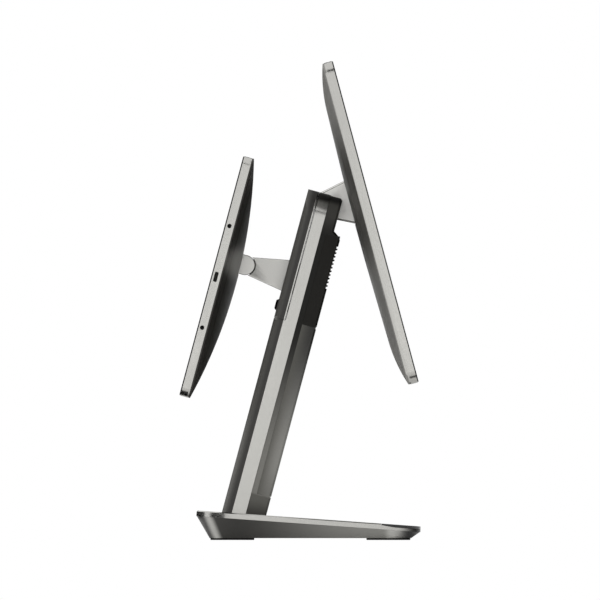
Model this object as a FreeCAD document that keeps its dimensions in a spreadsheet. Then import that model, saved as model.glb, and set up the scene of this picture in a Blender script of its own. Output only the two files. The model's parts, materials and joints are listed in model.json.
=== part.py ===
import FreeCAD, Part
import math
import os
import re
import Sketcher

# Two-screen point-of-sale terminal. Millimetres, +Z up, -Y is the operator's side.
# Every driving dimension is a cell of the sheet; bodies are bound to the cells by name.

SIZES = {
    # base
    "deckWidth": 230, "deckLength": 170.8, "deckThickness": 4.3, "deckSlope": 4.08,
    "deckRearY": 78.5, "deckRearZ": 22.5, "deckRearRadius": 30, "deckFrontRadius": 27,
    "deckEdgeChamfer": 0.8, "skirtInset": 0.4, "skirtRearLean": 9.8, "skirtFrontLean": 7.4,
    "skirtSideLean": 9, "skirtWall": 2.2, "skirtFloor": 2, "skirtFootRadius": 20,
    "footHeight": 1.4, "footRecess": 0.7, "footLength": 33.4, "footWidth": 26, "footInset": 0.6,
    "insertLength": 30.2, "insertThin": 1.2, "insertThick": 2.3,
    "insertTaper": 10.5, "ballastHeight": 5.6, "ballastWidth": 168, "ballastLength": 84,
    "ballastRearGap": 16, "cableHoleWidth": 34, "cableHoleLow": 30, "cableHoleHigh": 44, "cableHoleRound": 5,
    "outletHeight": 13,
    "baseScrewX": 60, "baseScrewRearInset": 18.5, "baseScrewFrontInset": 29.9, "baseBossWidth": 9,
    "columnBoltX": 72, "columnBoltStep": 16,
    # column shell, depths counted from the rear face
    "columnWidth": 200, "columnHeight": 254.2, "columnFootY": 59.4, "columnLean": 15,
    "columnTopRadius": 19, "rearCoverDepth": 7.4, "trimDepth": 1.2, "trimWall": 2.6,
    "bandDepth": 10.4, "bandWall": 3.2, "stripDepth": 4.2, "columnDepth": 33.2,
    "headDepth": 27.2, "chinDrop": 25.9, "chinLength": 4.1, "footBlock": 20.2,
    "seamBelowPivot": 32.5, "seamGap": 0.3, "frontInset": 0.5, "frontCorner": 1.5, "rearCorner": 5,
    "coverWall": 2.4, "coverRibX": 72, "seamChamfer": 0.9, "webOffset": 1.6, "webThickness": 2.2,
    "footFlange": 4.6, "footWidthInset": 9,
    # fins of the heatsink cover
    "finPitch": 2.87, "finCount": 12, "finGap": 1.5, "finGroove": 1.8, "finTopDrop": 6.6,
    "sinkWall": 4.4,
    # head slot and hinge
    "headPivotDepth": 16.2, "headPivotDrop": 7.6, "slotWidth": 102, "slotDrop": 25.6,
    "slotWall": 2.5, "hubRadius": 10, "armWidth": 100, "armUpperAngle": 11.4,
    "armLowerAngle": 26.6, "armChamfer": 1.2, "hingePin": 6, "pinPlay": 0.06, "hingeBracketWidth": 6,
    "hingeBracketGap": 1, "hingeBracketRadius": 4.2, "discWidth": 3, "discRadius": 4.1,
    "discPlay": 0.4, "nutWidth": 4, "nutRadius": 4.2, "hingeFootWidth": 16,
    "hingeFootHeight": 9, "hingeFootThickness": 2,
    # main display, depths counted from the glass face
    "mainWidth": 330, "mainHeight": 253, "mainReach": 32.9, "mainDrop": 22.3, "mainLean": 15,
    "mainSeatDepth": 11.8,
    "mainDepth": 16, "mainEdge": 8, "mainShoulder": 5.9, "mainShoulderRun": 18,
    "mainShoulderRound": 120, "mainCrest": 2.6, "mainCrestRound": 2000,
    # rear display
    "rearWidth": 286, "rearHeight": 188.5, "rearReach": 22.7, "rearDrop": 14.4, "rearLean": 15,
    "rearSeatDepth": 12.4, "rearPivotReach": 31.6, "rearPivotHeight": 186,
    "rearDepth": 20, "rearEdge": 8.4, "rearShoulder": 9.9, "rearShoulderRun": 40,
    "rearShoulderRound": 385, "rearCrest": 1.9, "rearCrestRound": 400,
    # what both displays share
    "mainRound": 9.5, "rearRound": 7, "frameLip": 6.4, "frameLipDepth": 1.3,
    "bandChamfer": 0.4, "glassThickness": 0.9, "glassInset": 0.35,
    "frameDepth": 6.3, "frameWall": 2.6, "panelDepth": 4.6, "panelBorder": 7,
    "shellWall": 2, "plateThickness": 1.2, "portPitch": 80, "portHole": 3.4,
    "portSlotLength": 7.7, "portSlotHeight": 2.9, "portBossDepth": 3.2, "portBossLength": 96,
    "portSocketDepth": 5, "displayBoardLength": 70, "displayBoardHeight": 26,
    "windowPlay": 0.4, "displayScrewInset": 16, "screwSeatDepth": 9.6, "plateInset": 8.2,
    "boardStand": 2, "boardDrop": 40,
    # rear arm and knuckle
    "rearArmWidth": 76, "rearArmRoot": 24.1, "rearArmRootDrop": 0.35, "rearArmTip": 13.6,
    "rearArmReach": 29.2, "knuckleRadius": 7.6, "knucklePlay": 0.4, "tongueWidth": 45,
    "tongueRadius": 7.3, "knuckleInner": 47.8, "rearPin": 6, "washerWidth": 1,
    "washerRadius": 5.6,
    # release button
    "buttonWidth": 16, "buttonHeight": 8.6, "buttonProud": 1.7, "buttonAbove": 9.8,
    "buttonPlay": 0.3, "buttonRound": 1.5, "buttonFlange": 1.6, "buttonFlangeDepth": 1.2,
    "buttonTravel": 1.3, "leafThickness": 0.4, "leafWidth": 7,
    # electronics
    "boardWidth": 160, "boardHeight": 156, "boardThickness": 1.6, "boardDepth": 16.6,
    "boardTopDrop": 36, "standoffRadius": 3.2, "standoffInset": 7, "chipSize": 38,
    "chipHeight": 1.6, "spreaderWidth": 46, "spreaderFootPlay": 11.3, "spreaderHeadPlay": 8.6,
    "jackDepth": 10.5, "jackHeight": 13,
    # fasteners
    "smallShank": 3, "smallHead": 5.6, "smallHeadHeight": 1.8, "largeShank": 4,
    "largeHead": 7.4, "largeHeadHeight": 2.6,
}

doc = FreeCAD.newDocument("terminal")
sheet = doc.addObject("Spreadsheet::Sheet", "Sizes")
for row, (alias, number) in enumerate(SIZES.items(), 1):
    sheet.set(f"A{row}", alias)
    sheet.set(f"B{row}", str(number))
    sheet.setAlias(f"B{row}", alias)
doc.recompute()

PARTS = []


# ---------------------------------------------------------------- binding helpers

def ref(text):
    """The expression with every size name pointed at the sheet."""
    point = lambda word: "Sizes." + word.group() if word.group() in SIZES else word.group()
    return re.sub(r"[A-Za-z]\w*", point, str(text))


def value(text):
    return float(sheet.evalExpression(ref(text)))


def bind(item, path, text):
    item.setExpression(path, ref(text))


# ---------------------------------------------------------------- frames of reference

DECK_FRONT_Y = "(deckRearY-deckLength*cos(deckSlope))"
COLUMN_FOOT_Z = "(deckRearZ-(deckRearY-columnFootY)*tan(deckSlope))"
BEVEL = "tan(columnLean-deckSlope)"          # how far the column foot rises per mm of depth


def column_point(reach, height):
    """World Y and Z of a point given behind the column's rear face and up its axis."""
    y = f"columnFootY+cos(columnLean)*({reach})-sin(columnLean)*({height})"
    z = f"{COLUMN_FOOT_Z}+sin(columnLean)*({reach})+cos(columnLean)*({height})"
    return y, z


FRAMES = {
    "world": ("0", "0", "rotationx(0)"),
    "column": (*column_point("0", "0"), "rotationx(columnLean)"),
    "main": (*column_point("-headPivotDepth", "columnHeight-headPivotDrop"),
             "rotationx(-mainLean)"),
    "rear": (*column_point("rearPivotReach", "rearPivotHeight"),
             "rotationx(rearLean) * rotationz(180)"),
}


def new_body(name, frame):
    body = doc.addObject("PartDesign::Body", name)
    body.Label = name
    body.AllowCompound = True
    y, z, turn = FRAMES[frame]
    bind(body, "Placement", f"placement(vector(0; {y}; {z}); {turn})")
    PARTS.append(body)
    return body


# ---------------------------------------------------------------- sketch helpers

def new_sketch(body, plane, offset="0", tilt=None, shift="0"):
    """A sketch on an origin plane of its own body, moved along the plane's normal."""
    sketch = body.newObject("Sketcher::SketchObject", body.Label + "_sketch")
    origin = [item for item in body.Origin.OriginFeatures if item.Role == plane + "_Plane"]
    sketch.AttachmentSupport = [(origin[0], "")]
    sketch.MapMode = "FlatFace"
    if tilt:
        bind(sketch, "AttachmentOffset",
             f"placement(vector(0; {shift}; {offset}); rotationx({tilt}))")
    else:
        bind(sketch, "AttachmentOffset.Base.z", offset)
    return sketch


def pin_point(sketch, geometry, vertex, x, y):
    for kind, text in (("DistanceX", x), ("DistanceY", y)):
        rule = Sketcher.Constraint(kind, -1, 1, geometry, vertex, value(text))
        index = sketch.addConstraint(rule)
        bind(sketch, f"Constraints[{index}]", text)


def corner_arc(before, here, after, radius):
    """Arc that rounds the corner at `here`, with its first and last point."""
    back = (before - here).normalize()
    ahead = (after - here).normalize()
    half = back.getAngle(ahead) / 2
    first = here + back * (radius / math.tan(half))
    last = here + ahead * (radius / math.tan(half))
    centre = here + (back + ahead).normalize() * (radius / math.sin(half))
    anticlockwise = back.cross(ahead).z < 0
    start, end = (first, last) if anticlockwise else (last, first)
    circle = Part.Circle(centre, FreeCAD.Vector(0, 0, 1), radius)
    arc = Part.ArcOfCircle(circle, circle.parameter(start), circle.parameter(end))
    return arc, first, last, anticlockwise


def loop(sketch, corners):
    """Closed outline through corners (x, y) or (x, y, radius), all given as expressions."""
    spots = [FreeCAD.Vector(value(corner[0]), value(corner[1]), 0) for corner in corners]
    count = len(corners)
    arcs = {}
    for i, corner in enumerate(corners):
        if len(corner) == 3:
            near = (spots[i - 1], spots[i], spots[(i + 1) % count])
            arcs[i] = corner_arc(*near, value(corner[2]))
    lines = []
    for i in range(count):
        j = (i + 1) % count
        start = arcs[i][2] if i in arcs else spots[i]
        end = arcs[j][1] if j in arcs else spots[j]
        lines.append(sketch.addGeometry(Part.LineSegment(start, end), False))
    for i, corner in enumerate(corners):
        before, after = lines[i - 1], lines[i]
        if i not in arcs:
            sketch.addConstraint(Sketcher.Constraint("Coincident", before, 2, after, 1))
            pin_point(sketch, after, 1, corner[0], corner[1])
            continue
        arc = sketch.addGeometry(arcs[i][0], False)
        first, last = (1, 2) if arcs[i][3] else (2, 1)
        sketch.addConstraint(Sketcher.Constraint("Tangent", before, 2, arc, first))
        sketch.addConstraint(Sketcher.Constraint("Tangent", arc, last, after, 1))
        index = sketch.addConstraint(Sketcher.Constraint("Radius", arc, value(corner[2])))
        bind(sketch, f"Constraints[{index}]", corner[2])
        point = sketch.addGeometry(Part.Point(spots[i]), True)
        pin_point(sketch, point, 1, corner[0], corner[1])
        sketch.addConstraint(Sketcher.Constraint("PointOnObject", point, 1, before))
        sketch.addConstraint(Sketcher.Constraint("PointOnObject", point, 1, after))


def box_loop(sketch, left, right, low, high, radius=None, top_radius=None):
    """Rectangle, with one corner radius or with a radius for its two upper corners only."""
    low_corner = (radius,) if radius else ()
    high_corner = (radius or top_radius,) if (radius or top_radius) else ()
    loop(sketch, [(left, low, *low_corner), (right, low, *low_corner),
                  (right, high, *high_corner), (left, high, *high_corner)])


def centred_loop(sketch, width, low, high, radius=None, top_radius=None):
    box_loop(sketch, f"-({width})/2", f"({width})/2", low, high, radius, top_radius)


def ring(sketch, x, y, radius):
    spot = FreeCAD.Vector(value(x), value(y), 0)
    circle = Part.Circle(spot, FreeCAD.Vector(0, 0, 1), value(radius))
    index = sketch.addGeometry(circle, False)
    pin_point(sketch, index, 3, x, y)
    rule = sketch.addConstraint(Sketcher.Constraint("Radius", index, value(radius)))
    bind(sketch, f"Constraints[{rule}]", radius)


def hexagons(sketch, spots, radius):
    """Fasteners, holes, standoffs and discs, kept to six sides each; radius to a corner."""
    for x, y in spots:
        loop(sketch, [(f"{x}+({radius})*cos({turn})", f"{y}+({radius})*sin({turn})")
                      for turn in range(0, 360, 60)])


# ---------------------------------------------------------------- feature helpers

def pad(body, sketch, length, both=False, flip=False):
    feature = body.newObject("PartDesign::Pad", body.Label + "_pad")
    feature.Profile = sketch
    feature.SideType = "Symmetric" if both else "One side"
    feature.Reversed = flip
    bind(feature, "Length", length)
    sketch.Visibility = False
    return feature


def pocket(body, sketch, length=None, both=False, flip=False):
    """Cut along the sketch normal reversed; with no length it cuts through everything."""
    before = solid_volume(body)
    feature = body.newObject("PartDesign::Pocket", body.Label + "_pocket")
    feature.Profile = sketch
    feature.SideType = "Symmetric" if both else "One side"
    feature.Reversed = flip
    if length is None:
        feature.Type = "ThroughAll"
    else:
        bind(feature, "Length", length)
    doc.recompute()
    if not solid_volume(body) < before - 1e-3:
        raise RuntimeError(f"{feature.Label} cut nothing")
    return feature


def solid_volume(body):
    doc.recompute()
    return body.Shape.Volume


def loft(body, sections, kind="AdditiveLoft", ruled=False):
    feature = body.newObject("PartDesign::" + kind, body.Label + "_loft")
    feature.Profile = sections[0]
    feature.Sections = sections[1:]
    feature.Ruled = ruled
    return feature


def edges_where(body, test):
    doc.recompute()
    shape = body.Tip.Shape
    return [f"Edge{i}" for i, edge in enumerate(shape.Edges, 1) if test(edge)]


def soften(body, test, size, kind="Fillet"):
    """Fillet or chamfer every edge that passes the test, in the body's own frame."""
    names = edges_where(body, test)
    if not names:
        raise RuntimeError(f"{body.Label} has no such edge")
    feature = body.newObject("PartDesign::" + kind, body.Label + "_" + kind.lower())
    feature.Base = (body.Group[-2], names)
    bind(feature, "Radius" if kind == "Fillet" else "Size", size)
    return feature


def runs_along(edge, axis):
    box = edge.BoundBox
    spans = {"x": box.XLength, "y": box.YLength, "z": box.ZLength}
    return spans.pop(axis) > 1e-4 and max(spans.values()) < 1e-4


def repeat(body, feature, axis, pitch, count):
    pattern = body.newObject("PartDesign::LinearPattern", body.Label + "_pattern")
    pattern.Originals = [feature]
    line = [item for item in body.Origin.OriginFeatures if item.Role == axis + "_Axis"]
    pattern.Direction = (line[0], [""])
    bind(pattern, "Length", f"({pitch})*({count}-1)")
    bind(pattern, "Occurrences", count)
    body.Tip = pattern
    return pattern


def screw_group(name, frame, plane, seat, spots, size, length, flip=False):
    """Screws of one size: heads stand on the plane at `seat`, shanks run the other way."""
    body = new_body(name, frame)
    head = new_sketch(body, plane, seat)
    hexagons(head, spots, size + "Head/2")
    pad(body, head, size + "HeadHeight", flip=flip)
    shank = new_sketch(body, plane, seat)
    hexagons(shank, spots, size + "Shank/2")
    pad(body, shank, length, flip=not flip)
    return body


def four(x, low, high):
    return [(f"-({x})", low), (x, low), (f"-({x})", high), (x, high)]


def sides(width, inner):
    """Left and right ranges of X, from `inner` outwards over `width`."""
    return [(f"-({inner})-({width})", f"-({inner})"), (inner, f"({inner})+({width})")]


# ---------------------------------------------------------------- base

def deck_sketch(body, drop="0"):
    """Sketch on the sloping deck, `drop` under its top face; y runs forward from the rear."""
    offset = f"deckRearZ-cos(deckSlope)*({drop})"
    shift = f"deckRearY+sin(deckSlope)*({drop})"
    return new_sketch(body, "XY", offset, tilt="deckSlope", shift=shift)


def base_outline(sketch, half, front, rear, front_radius, rear_radius, cut_corners=False):
    """Outline of the base with rounded corners, or with corners cut from tangent to tangent."""
    if not cut_corners:
        loop(sketch, [(f"-({half})", front, front_radius), (half, front, front_radius),
                      (half, rear, rear_radius), (f"-({half})", rear, rear_radius)])
        return
    right = [(f"{half}-({front_radius})", front), (half, f"{front}+({front_radius})"),
             (half, f"{rear}-({rear_radius})"), (f"{half}-({rear_radius})", rear)]
    loop(sketch, right + [(f"-({x})", y) for x, y in reversed(right)])


def deck_outline(sketch, inset="0", cut_corners=False):
    base_outline(sketch, f"deckWidth/2-({inset})", f"-deckLength+({inset})", f"-({inset})",
                 f"deckFrontRadius-({inset})", f"deckRearRadius-({inset})", cut_corners)


def skirt_foot(sketch, inset="0", cut_corners=False):
    radius = f"skirtFootRadius-({inset})"
    base_outline(sketch, f"deckWidth/2-skirtSideLean-({inset})",
                 f"{DECK_FRONT_Y}+skirtFrontLean+({inset})",
                 f"deckRearY-skirtRearLean-({inset})", radius, radius, cut_corners)


def deck_z(y, drop="0"):
    """Height of the deck at world y, `drop` under its top face."""
    return f"(deckRearZ-(deckRearY-({y}))*tan(deckSlope)-({drop})/cos(deckSlope))"


BASE_SCREWS = four("baseScrewX", f"({DECK_FRONT_Y}+baseScrewFrontInset)",
                   "(deckRearY-baseScrewRearInset)")
COLUMN_BOLT_Y = "columnFootY-columnDepth/2*cos(columnLean)"
COLUMN_BOLTS = four("columnBoltX", f"{COLUMN_BOLT_Y}-columnBoltStep/2",
                    f"{COLUMN_BOLT_Y}+columnBoltStep/2")
BOLT_SEAT = deck_z(f"{COLUMN_BOLT_Y}+columnBoltStep/2+largeHead/2+0.4", "deckThickness")
FLOOR_TOP = "footHeight+skirtFloor"


def insert_wedge(body, clearance="0"):
    """Side profile of the front insert's bed: thin at its rear edge, thicker forward."""
    sketch = new_sketch(body, "YZ", "0")
    rear = f"{DECK_FRONT_Y}+insertLength+({clearance})"
    mid = f"{rear}-insertTaper"
    front = f"{DECK_FRONT_Y}-5"
    loop(sketch, [(rear, f"{deck_z(rear)}+4"), (rear, deck_z(rear, "insertThin")),
                  (mid, deck_z(mid, "insertThick")), (front, deck_z(front, "insertThick")),
                  (front, f"{deck_z(front)}+4")])
    return sketch


def base_top_plate():
    body = new_body("base_top_plate", "world")
    outline = deck_sketch(body)
    deck_outline(outline)
    pad(body, outline, "deckThickness", flip=True)
    for x, y in BASE_SCREWS:
        boss = new_sketch(body, "XY", FLOOR_TOP)
        hexagons(boss, [(x, y)], "baseBossWidth/2")
        pad(body, boss, f"{deck_z(y, 'deckThickness/2')}-({FLOOR_TOP})")
    pocket(body, insert_wedge(body), both=True)
    holes = new_sketch(body, "XY", "0")
    hexagons(holes, COLUMN_BOLTS, "largeShank/2")
    pocket(body, holes, flip=True)
    seats = new_sketch(body, "XY", "0")
    hexagons(seats, COLUMN_BOLTS, "largeHead/2+0.3")
    pocket(body, seats, BOLT_SEAT, flip=True)
    threads = new_sketch(body, "XY", "0")
    hexagons(threads, BASE_SCREWS, "smallShank/2")
    pocket(body, threads, f"{FLOOR_TOP}+6", flip=True)
    top = value("deckRearZ")
    slope = math.tan(math.radians(value("deckSlope")))
    rear = value("deckRearY")

    def rim(edge):
        on_top = all(abs(v.Z - (top - (rear - v.Y) * slope)) < 0.01 for v in edge.Vertexes)
        middle = edge.valueAt((edge.FirstParameter + edge.LastParameter) / 2)
        outside = abs(middle.x) > value("deckWidth/2-deckRearRadius/2") or middle.y > rear - 12
        return on_top and outside and abs(middle.z - (top - (rear - middle.y) * slope)) < 0.01

    soften(body, rim, "deckEdgeChamfer", "Chamfer")
    return body


def base_shell():
    body = new_body("base_shell", "world")
    foot = new_sketch(body, "XY", "footHeight")
    skirt_foot(foot)
    rim = deck_sketch(body, "deckThickness")
    deck_outline(rim, "skirtInset")
    loft(body, [foot, rim], ruled=True)
    floor = new_sketch(body, "XY", FLOOR_TOP)
    skirt_foot(floor, "skirtWall", cut_corners=True)
    inner_rim = deck_sketch(body, "deckThickness")
    deck_outline(inner_rim, "skirtInset+skirtWall", cut_corners=True)
    loft(body, [floor, inner_rim], "SubtractiveLoft", ruled=True)
    recesses = new_sketch(body, "XY", "footHeight")
    foot_loops(recesses)
    pocket(body, recesses, "footRecess", flip=True)
    holes = new_sketch(body, "XY", "footHeight")
    hexagons(holes, BASE_SCREWS, "smallShank/2+0.2")
    pocket(body, holes, "skirtFloor*2", flip=True)
    sinks = new_sketch(body, "XY", "footHeight")
    hexagons(sinks, BASE_SCREWS, "smallHead/2+0.3")
    pocket(body, sinks, "skirtFloor/2", flip=True)
    return body


def foot_loops(sketch):
    """Four pads in the corners of the skirt's foot, each with one large outer corner."""
    side = "deckWidth/2-skirtSideLean-footInset"
    inner = f"{side}-footWidth"
    ends = (("deckRearY-skirtRearLean-footInset", "-1"),
            (f"{DECK_FRONT_Y}+skirtFrontLean+footInset", "1"))
    big = "skirtFootRadius-footInset"
    for end, into in ends:
        near = f"({end})+({into})*footLength"
        for sign in ("-1", "1"):
            loop(sketch, [(f"{sign}*({side})", end, big), (f"{sign}*({side})", near),
                          (f"{sign}*({inner})", near), (f"{sign}*({inner})", end)])


def rubber_feet():
    body = new_body("rubber_feet", "world")
    pads = new_sketch(body, "XY", "0")
    foot_loops(pads)
    pad(body, pads, "footHeight+footRecess")
    return body


def base_front_insert():
    body = new_body("base_front_insert", "world")
    outline = deck_sketch(body)
    deck_outline(outline, "0.1")
    pad(body, outline, "insertThick", flip=True)
    cut = new_sketch(body, "YZ", "0")
    rear = f"{DECK_FRONT_Y}+insertLength-0.15"
    mid = f"{DECK_FRONT_Y}+insertLength-insertTaper"
    far = "deckRearY+20"
    loop(cut, [(rear, f"{deck_z(rear)}+9"), (rear, deck_z(rear, "insertThin")),
               (mid, deck_z(mid, "insertThick")), (mid, f"{deck_z(mid)}-9"),
               (far, f"{deck_z(mid)}-9"), (far, f"{deck_z(far)}+9")])
    pocket(body, cut, both=True)
    return body


def base_weight():
    body = new_body("base_weight", "world")
    plan = new_sketch(body, "XY", FLOOR_TOP)
    rear = "deckRearY-skirtRearLean-ballastRearGap"
    centred_loop(plan, "ballastWidth", f"{rear}-ballastLength", rear)
    pad(body, plan, "ballastHeight")
    soften(body, lambda edge: edge.BoundBox.ZMin > value(FLOOR_TOP) + 1, "1", "Chamfer")
    return body


# ---------------------------------------------------------------- column

HALF = "columnWidth/2"
BAND_REAR = "rearCoverDepth"
BAND_FRONT = "(rearCoverDepth+bandDepth)"
STRIP_FRONT = "(rearCoverDepth+bandDepth+stripDepth)"
WEB_FRONT = "(rearCoverDepth+webOffset+webThickness)"
SLOT_FLOOR = "(columnHeight-slotDrop)"
CHEEK_INNER = "(slotWidth/2+slotWall)"
CHIN = "(columnHeight-chinDrop)"
UPPER_EDGE = "(columnHeight-chinDrop-chinLength)"
PIVOT_W = "(columnHeight-headPivotDrop)"
SEAM = "(rearPivotHeight-seamBelowPivot)"
BUTTON_W = f"({SEAM}+buttonAbove)"


def column_outline(sketch, inset="0", low="0"):
    centred_loop(sketch, f"columnWidth-2*({inset})", low, f"columnHeight-({inset})",
                 top_radius=f"columnTopRadius-({inset})")


def cut_foot(body):
    """Cut the column foot parallel to the deck that it stands on."""
    sketch = new_sketch(body, "YZ", "0")
    loop(sketch, [("30", f"-30*{BEVEL}"), ("-60", f"60*{BEVEL}"), ("-60", "-40"),
                  ("30", "-40")])
    pocket(body, sketch, both=True)


def column_frame():
    body = new_body("column_frame", "column")
    band = new_sketch(body, "XZ", BAND_REAR)
    column_outline(band, low="-6")
    centred_loop(band, "columnWidth-2*bandWall", f"bandWall+{BAND_FRONT}*{BEVEL}",
                 "columnHeight-bandWall", top_radius="columnTopRadius-bandWall")
    pad(body, band, "bandDepth")
    web = new_sketch(body, "XZ", "rearCoverDepth+webOffset")
    column_outline(web, "bandWall/2")
    pad(body, web, "webThickness")
    flange = new_sketch(body, "YZ", "0")
    rear, front = "-coverWall-0.6", "-columnDepth+coverWall+0.4"
    loop(flange, [(rear, "0"), (front, "0"), (front, f"-({front})*{BEVEL}+footFlange"),
                  (rear, f"-({rear})*{BEVEL}+footFlange")])
    pad(body, flange, "columnWidth-2*footWidthInset", both=True)
    posts = new_sketch(body, "XZ", WEB_FRONT)
    hexagons(posts, BOARD_HOLES, "standoffRadius")
    pad(body, posts, f"boardDepth-{WEB_FRONT}")
    cut_foot(body)
    step = new_sketch(body, "XZ", BAND_REAR)
    centred_loop(step, "columnWidth+10", f"{SEAM}-seamGap", "columnHeight+10")
    pocket(body, step, "trimDepth+0.1", flip=True)
    slot = new_sketch(body, "XZ", "0")
    centred_loop(slot, "slotWidth", SLOT_FLOOR, "columnHeight+10")
    pocket(body, slot, flip=True)
    cable = new_sketch(body, "XZ", "0")
    centred_loop(cable, "cableHoleWidth", "cableHoleLow", "cableHoleHigh", "cableHoleRound")
    pocket(body, cable, flip=True)
    holes = new_sketch(body, "XZ", "0")
    hexagons(holes, BOARD_HOLES, "smallShank/2")
    hexagons(holes, REAR_ARM_HOLES, "largeShank/2+0.2")
    hexagons(holes, HINGE_FOOT_HOLES, "smallShank/2")
    pocket(body, holes, flip=True)
    bolts = new_sketch(body, "XY", "0", tilt="-columnLean")
    spots = [(x, f"{y}-columnFootY") for x, y in COLUMN_BOLTS]
    hexagons(bolts, spots, "largeShank/2")
    pocket(body, bolts, "4*columnDepth", both=True)
    return body


BOARD_LOW = "(columnHeight-boardTopDrop-boardHeight)"
BOARD_HIGH = "(columnHeight-boardTopDrop)"
BOARD_HOLES = four("boardWidth/2-standoffInset", f"{BOARD_LOW}+standoffInset",
                   f"{BOARD_HIGH}-standoffInset")
REAR_ARM_HOLES = four("rearArmWidth/2-9", "rearPivotHeight-6.5", "rearPivotHeight+6.5")
HINGE_X = f"({CHEEK_INNER}+hingeBracketGap)"
FOOT_W = f"({PIVOT_W}-hingeBracketRadius-hingeFootHeight/2)"
HINGE_FOOT_HOLES = [(f"{sign}*({HINGE_X}+{x})", FOOT_W) for sign in ("-1", "1")
                    for x in ("hingeBracketWidth+hingeFootWidth/4",
                              "hingeBracketWidth+hingeFootWidth*3/4")]


def front_housing():
    body = new_body("front_housing", "column")
    side = new_sketch(body, "YZ")
    loop(side, [(f"-{BAND_FRONT}", "-6"), ("-columnDepth", "-6"), ("-columnDepth", "footBlock"),
                (f"-{STRIP_FRONT}", "footBlock"), (f"-{STRIP_FRONT}", UPPER_EDGE),
                ("-columnDepth", UPPER_EDGE), ("-headDepth", CHIN),
                ("-headDepth", "columnHeight"), (f"-{BAND_FRONT}", "columnHeight")])
    pad(body, side, "columnWidth-2*frontInset", both=True)
    trim_to_outline(body, "frontInset")
    round_front(body)
    cut_foot(body)
    middle = new_sketch(body, "XZ", BAND_FRONT)
    wide = "columnWidth-2*(frontInset+bandWall)"
    centred_loop(middle, wide, "-20", f"{SLOT_FLOOR}-slotWall")
    pocket(body, middle, "stripDepth", flip=True)
    foot = new_sketch(body, "XZ", BAND_FRONT)
    centred_loop(foot, wide, "-20", "footBlock-coverWall")
    pocket(body, foot, f"columnDepth-coverWall-{BAND_FRONT}", flip=True)
    cheeks = new_sketch(body, "XZ", BAND_FRONT)
    outer = "columnWidth/2-frontInset-bandWall"
    for sign in ("-1", "1"):
        loop(cheeks, [(f"{sign}*{CHEEK_INNER}", f"{UPPER_EDGE}+coverWall"),
                      (f"{sign}*({outer})", f"{UPPER_EDGE}+coverWall"),
                      (f"{sign}*({outer})", "columnHeight-coverWall", "columnTopRadius-bandWall"),
                      (f"{sign}*{CHEEK_INNER}", "columnHeight-coverWall")])
    pocket(body, cheeks, f"headDepth-coverWall-{BAND_FRONT}", flip=True)
    slot = new_sketch(body, "XZ", "0")
    centred_loop(slot, "slotWidth", SLOT_FLOOR, "columnHeight+10")
    pocket(body, slot, flip=True)
    bore = new_sketch(body, "YZ")
    ring(bore, "-headPivotDepth", PIVOT_W, "hingePin/2+0.5")
    pocket(body, bore, f"2*{CHEEK_INNER}+2", both=True)
    return body


def trim_to_outline(body, inset):
    """Cut what lies outside the column's front outline."""
    sketch = new_sketch(body, "XZ", "-20")
    column_outline(sketch, inset, low="-40")
    centred_loop(sketch, "columnWidth+60", "-80", "columnHeight+60")
    pocket(body, sketch, flip=True)


def round_front(body):
    """Round the upright front corners of a front cover."""
    half = value("columnWidth/2-frontInset")

    def corner(edge):
        on_side = all(abs(abs(v.X) - half) < 0.01 for v in edge.Vertexes)
        box = edge.BoundBox
        forward = box.YMax < -value(STRIP_FRONT) - 1
        return on_side and forward and box.ZLength > 2

    soften(body, corner, "frontCorner", "Chamfer")


def front_cover(name, low, high, wall):
    """Box cover that fills the front of the column between two seams, open at its back."""
    body = new_body(name, "column")
    plan = new_sketch(body, "XZ", STRIP_FRONT)
    width = "columnWidth-2*frontInset"
    centred_loop(plan, width, low, high)
    pad(body, plan, f"columnDepth-{STRIP_FRONT}")
    round_front(body)
    front = -value("columnDepth")
    soften(body, lambda edge: runs_along(edge, "x") and abs(edge.BoundBox.YMin - front) < 0.01,
           "seamChamfer", "Chamfer")
    hollow = new_sketch(body, "XZ", STRIP_FRONT)
    centred_loop(hollow, f"{width}-2*coverWall", f"{low}+coverWall", f"{high}-coverWall")
    pocket(body, hollow, f"columnDepth-{STRIP_FRONT}-({wall})", flip=True)
    return body


def heatsink_cover():
    low = f"{SEAM}+seamGap/2"
    body = front_cover("heatsink_cover", low, f"{UPPER_EDGE}-seamGap", "sinkWall")
    groove = new_sketch(body, "YZ")
    start = f"{UPPER_EDGE}-finTopDrop-finPitch*(finCount-1)-finGap"
    deep, out = "-columnDepth+finGroove", "-columnDepth-2"
    loop(groove, [(out, start), (deep, start), (deep, f"{start}+finGap"),
                  (out, f"{start}+finGap")])
    cut = pocket(body, groove, both=True)
    repeat(body, cut, "Z", "finPitch", "finCount")
    return body


def cable_cover():
    body = front_cover("cable_cover", "footBlock+seamGap/2", f"{SEAM}-seamGap/2", "coverWall")
    rib = new_sketch(body, "XZ", f"{STRIP_FRONT}+3")
    for sign in ("-1", "1"):
        loop(rib, [(f"{sign}*coverRibX", "footBlock+1"),
                   (f"{sign}*(coverRibX+coverWall*0.7)", "footBlock+1"),
                   (f"{sign}*(coverRibX+coverWall*0.7)", f"{SEAM}-1"),
                   (f"{sign}*coverRibX", f"{SEAM}-1")])
    pad(body, rib, f"columnDepth-coverWall/2-{STRIP_FRONT}-3")
    return body


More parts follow.
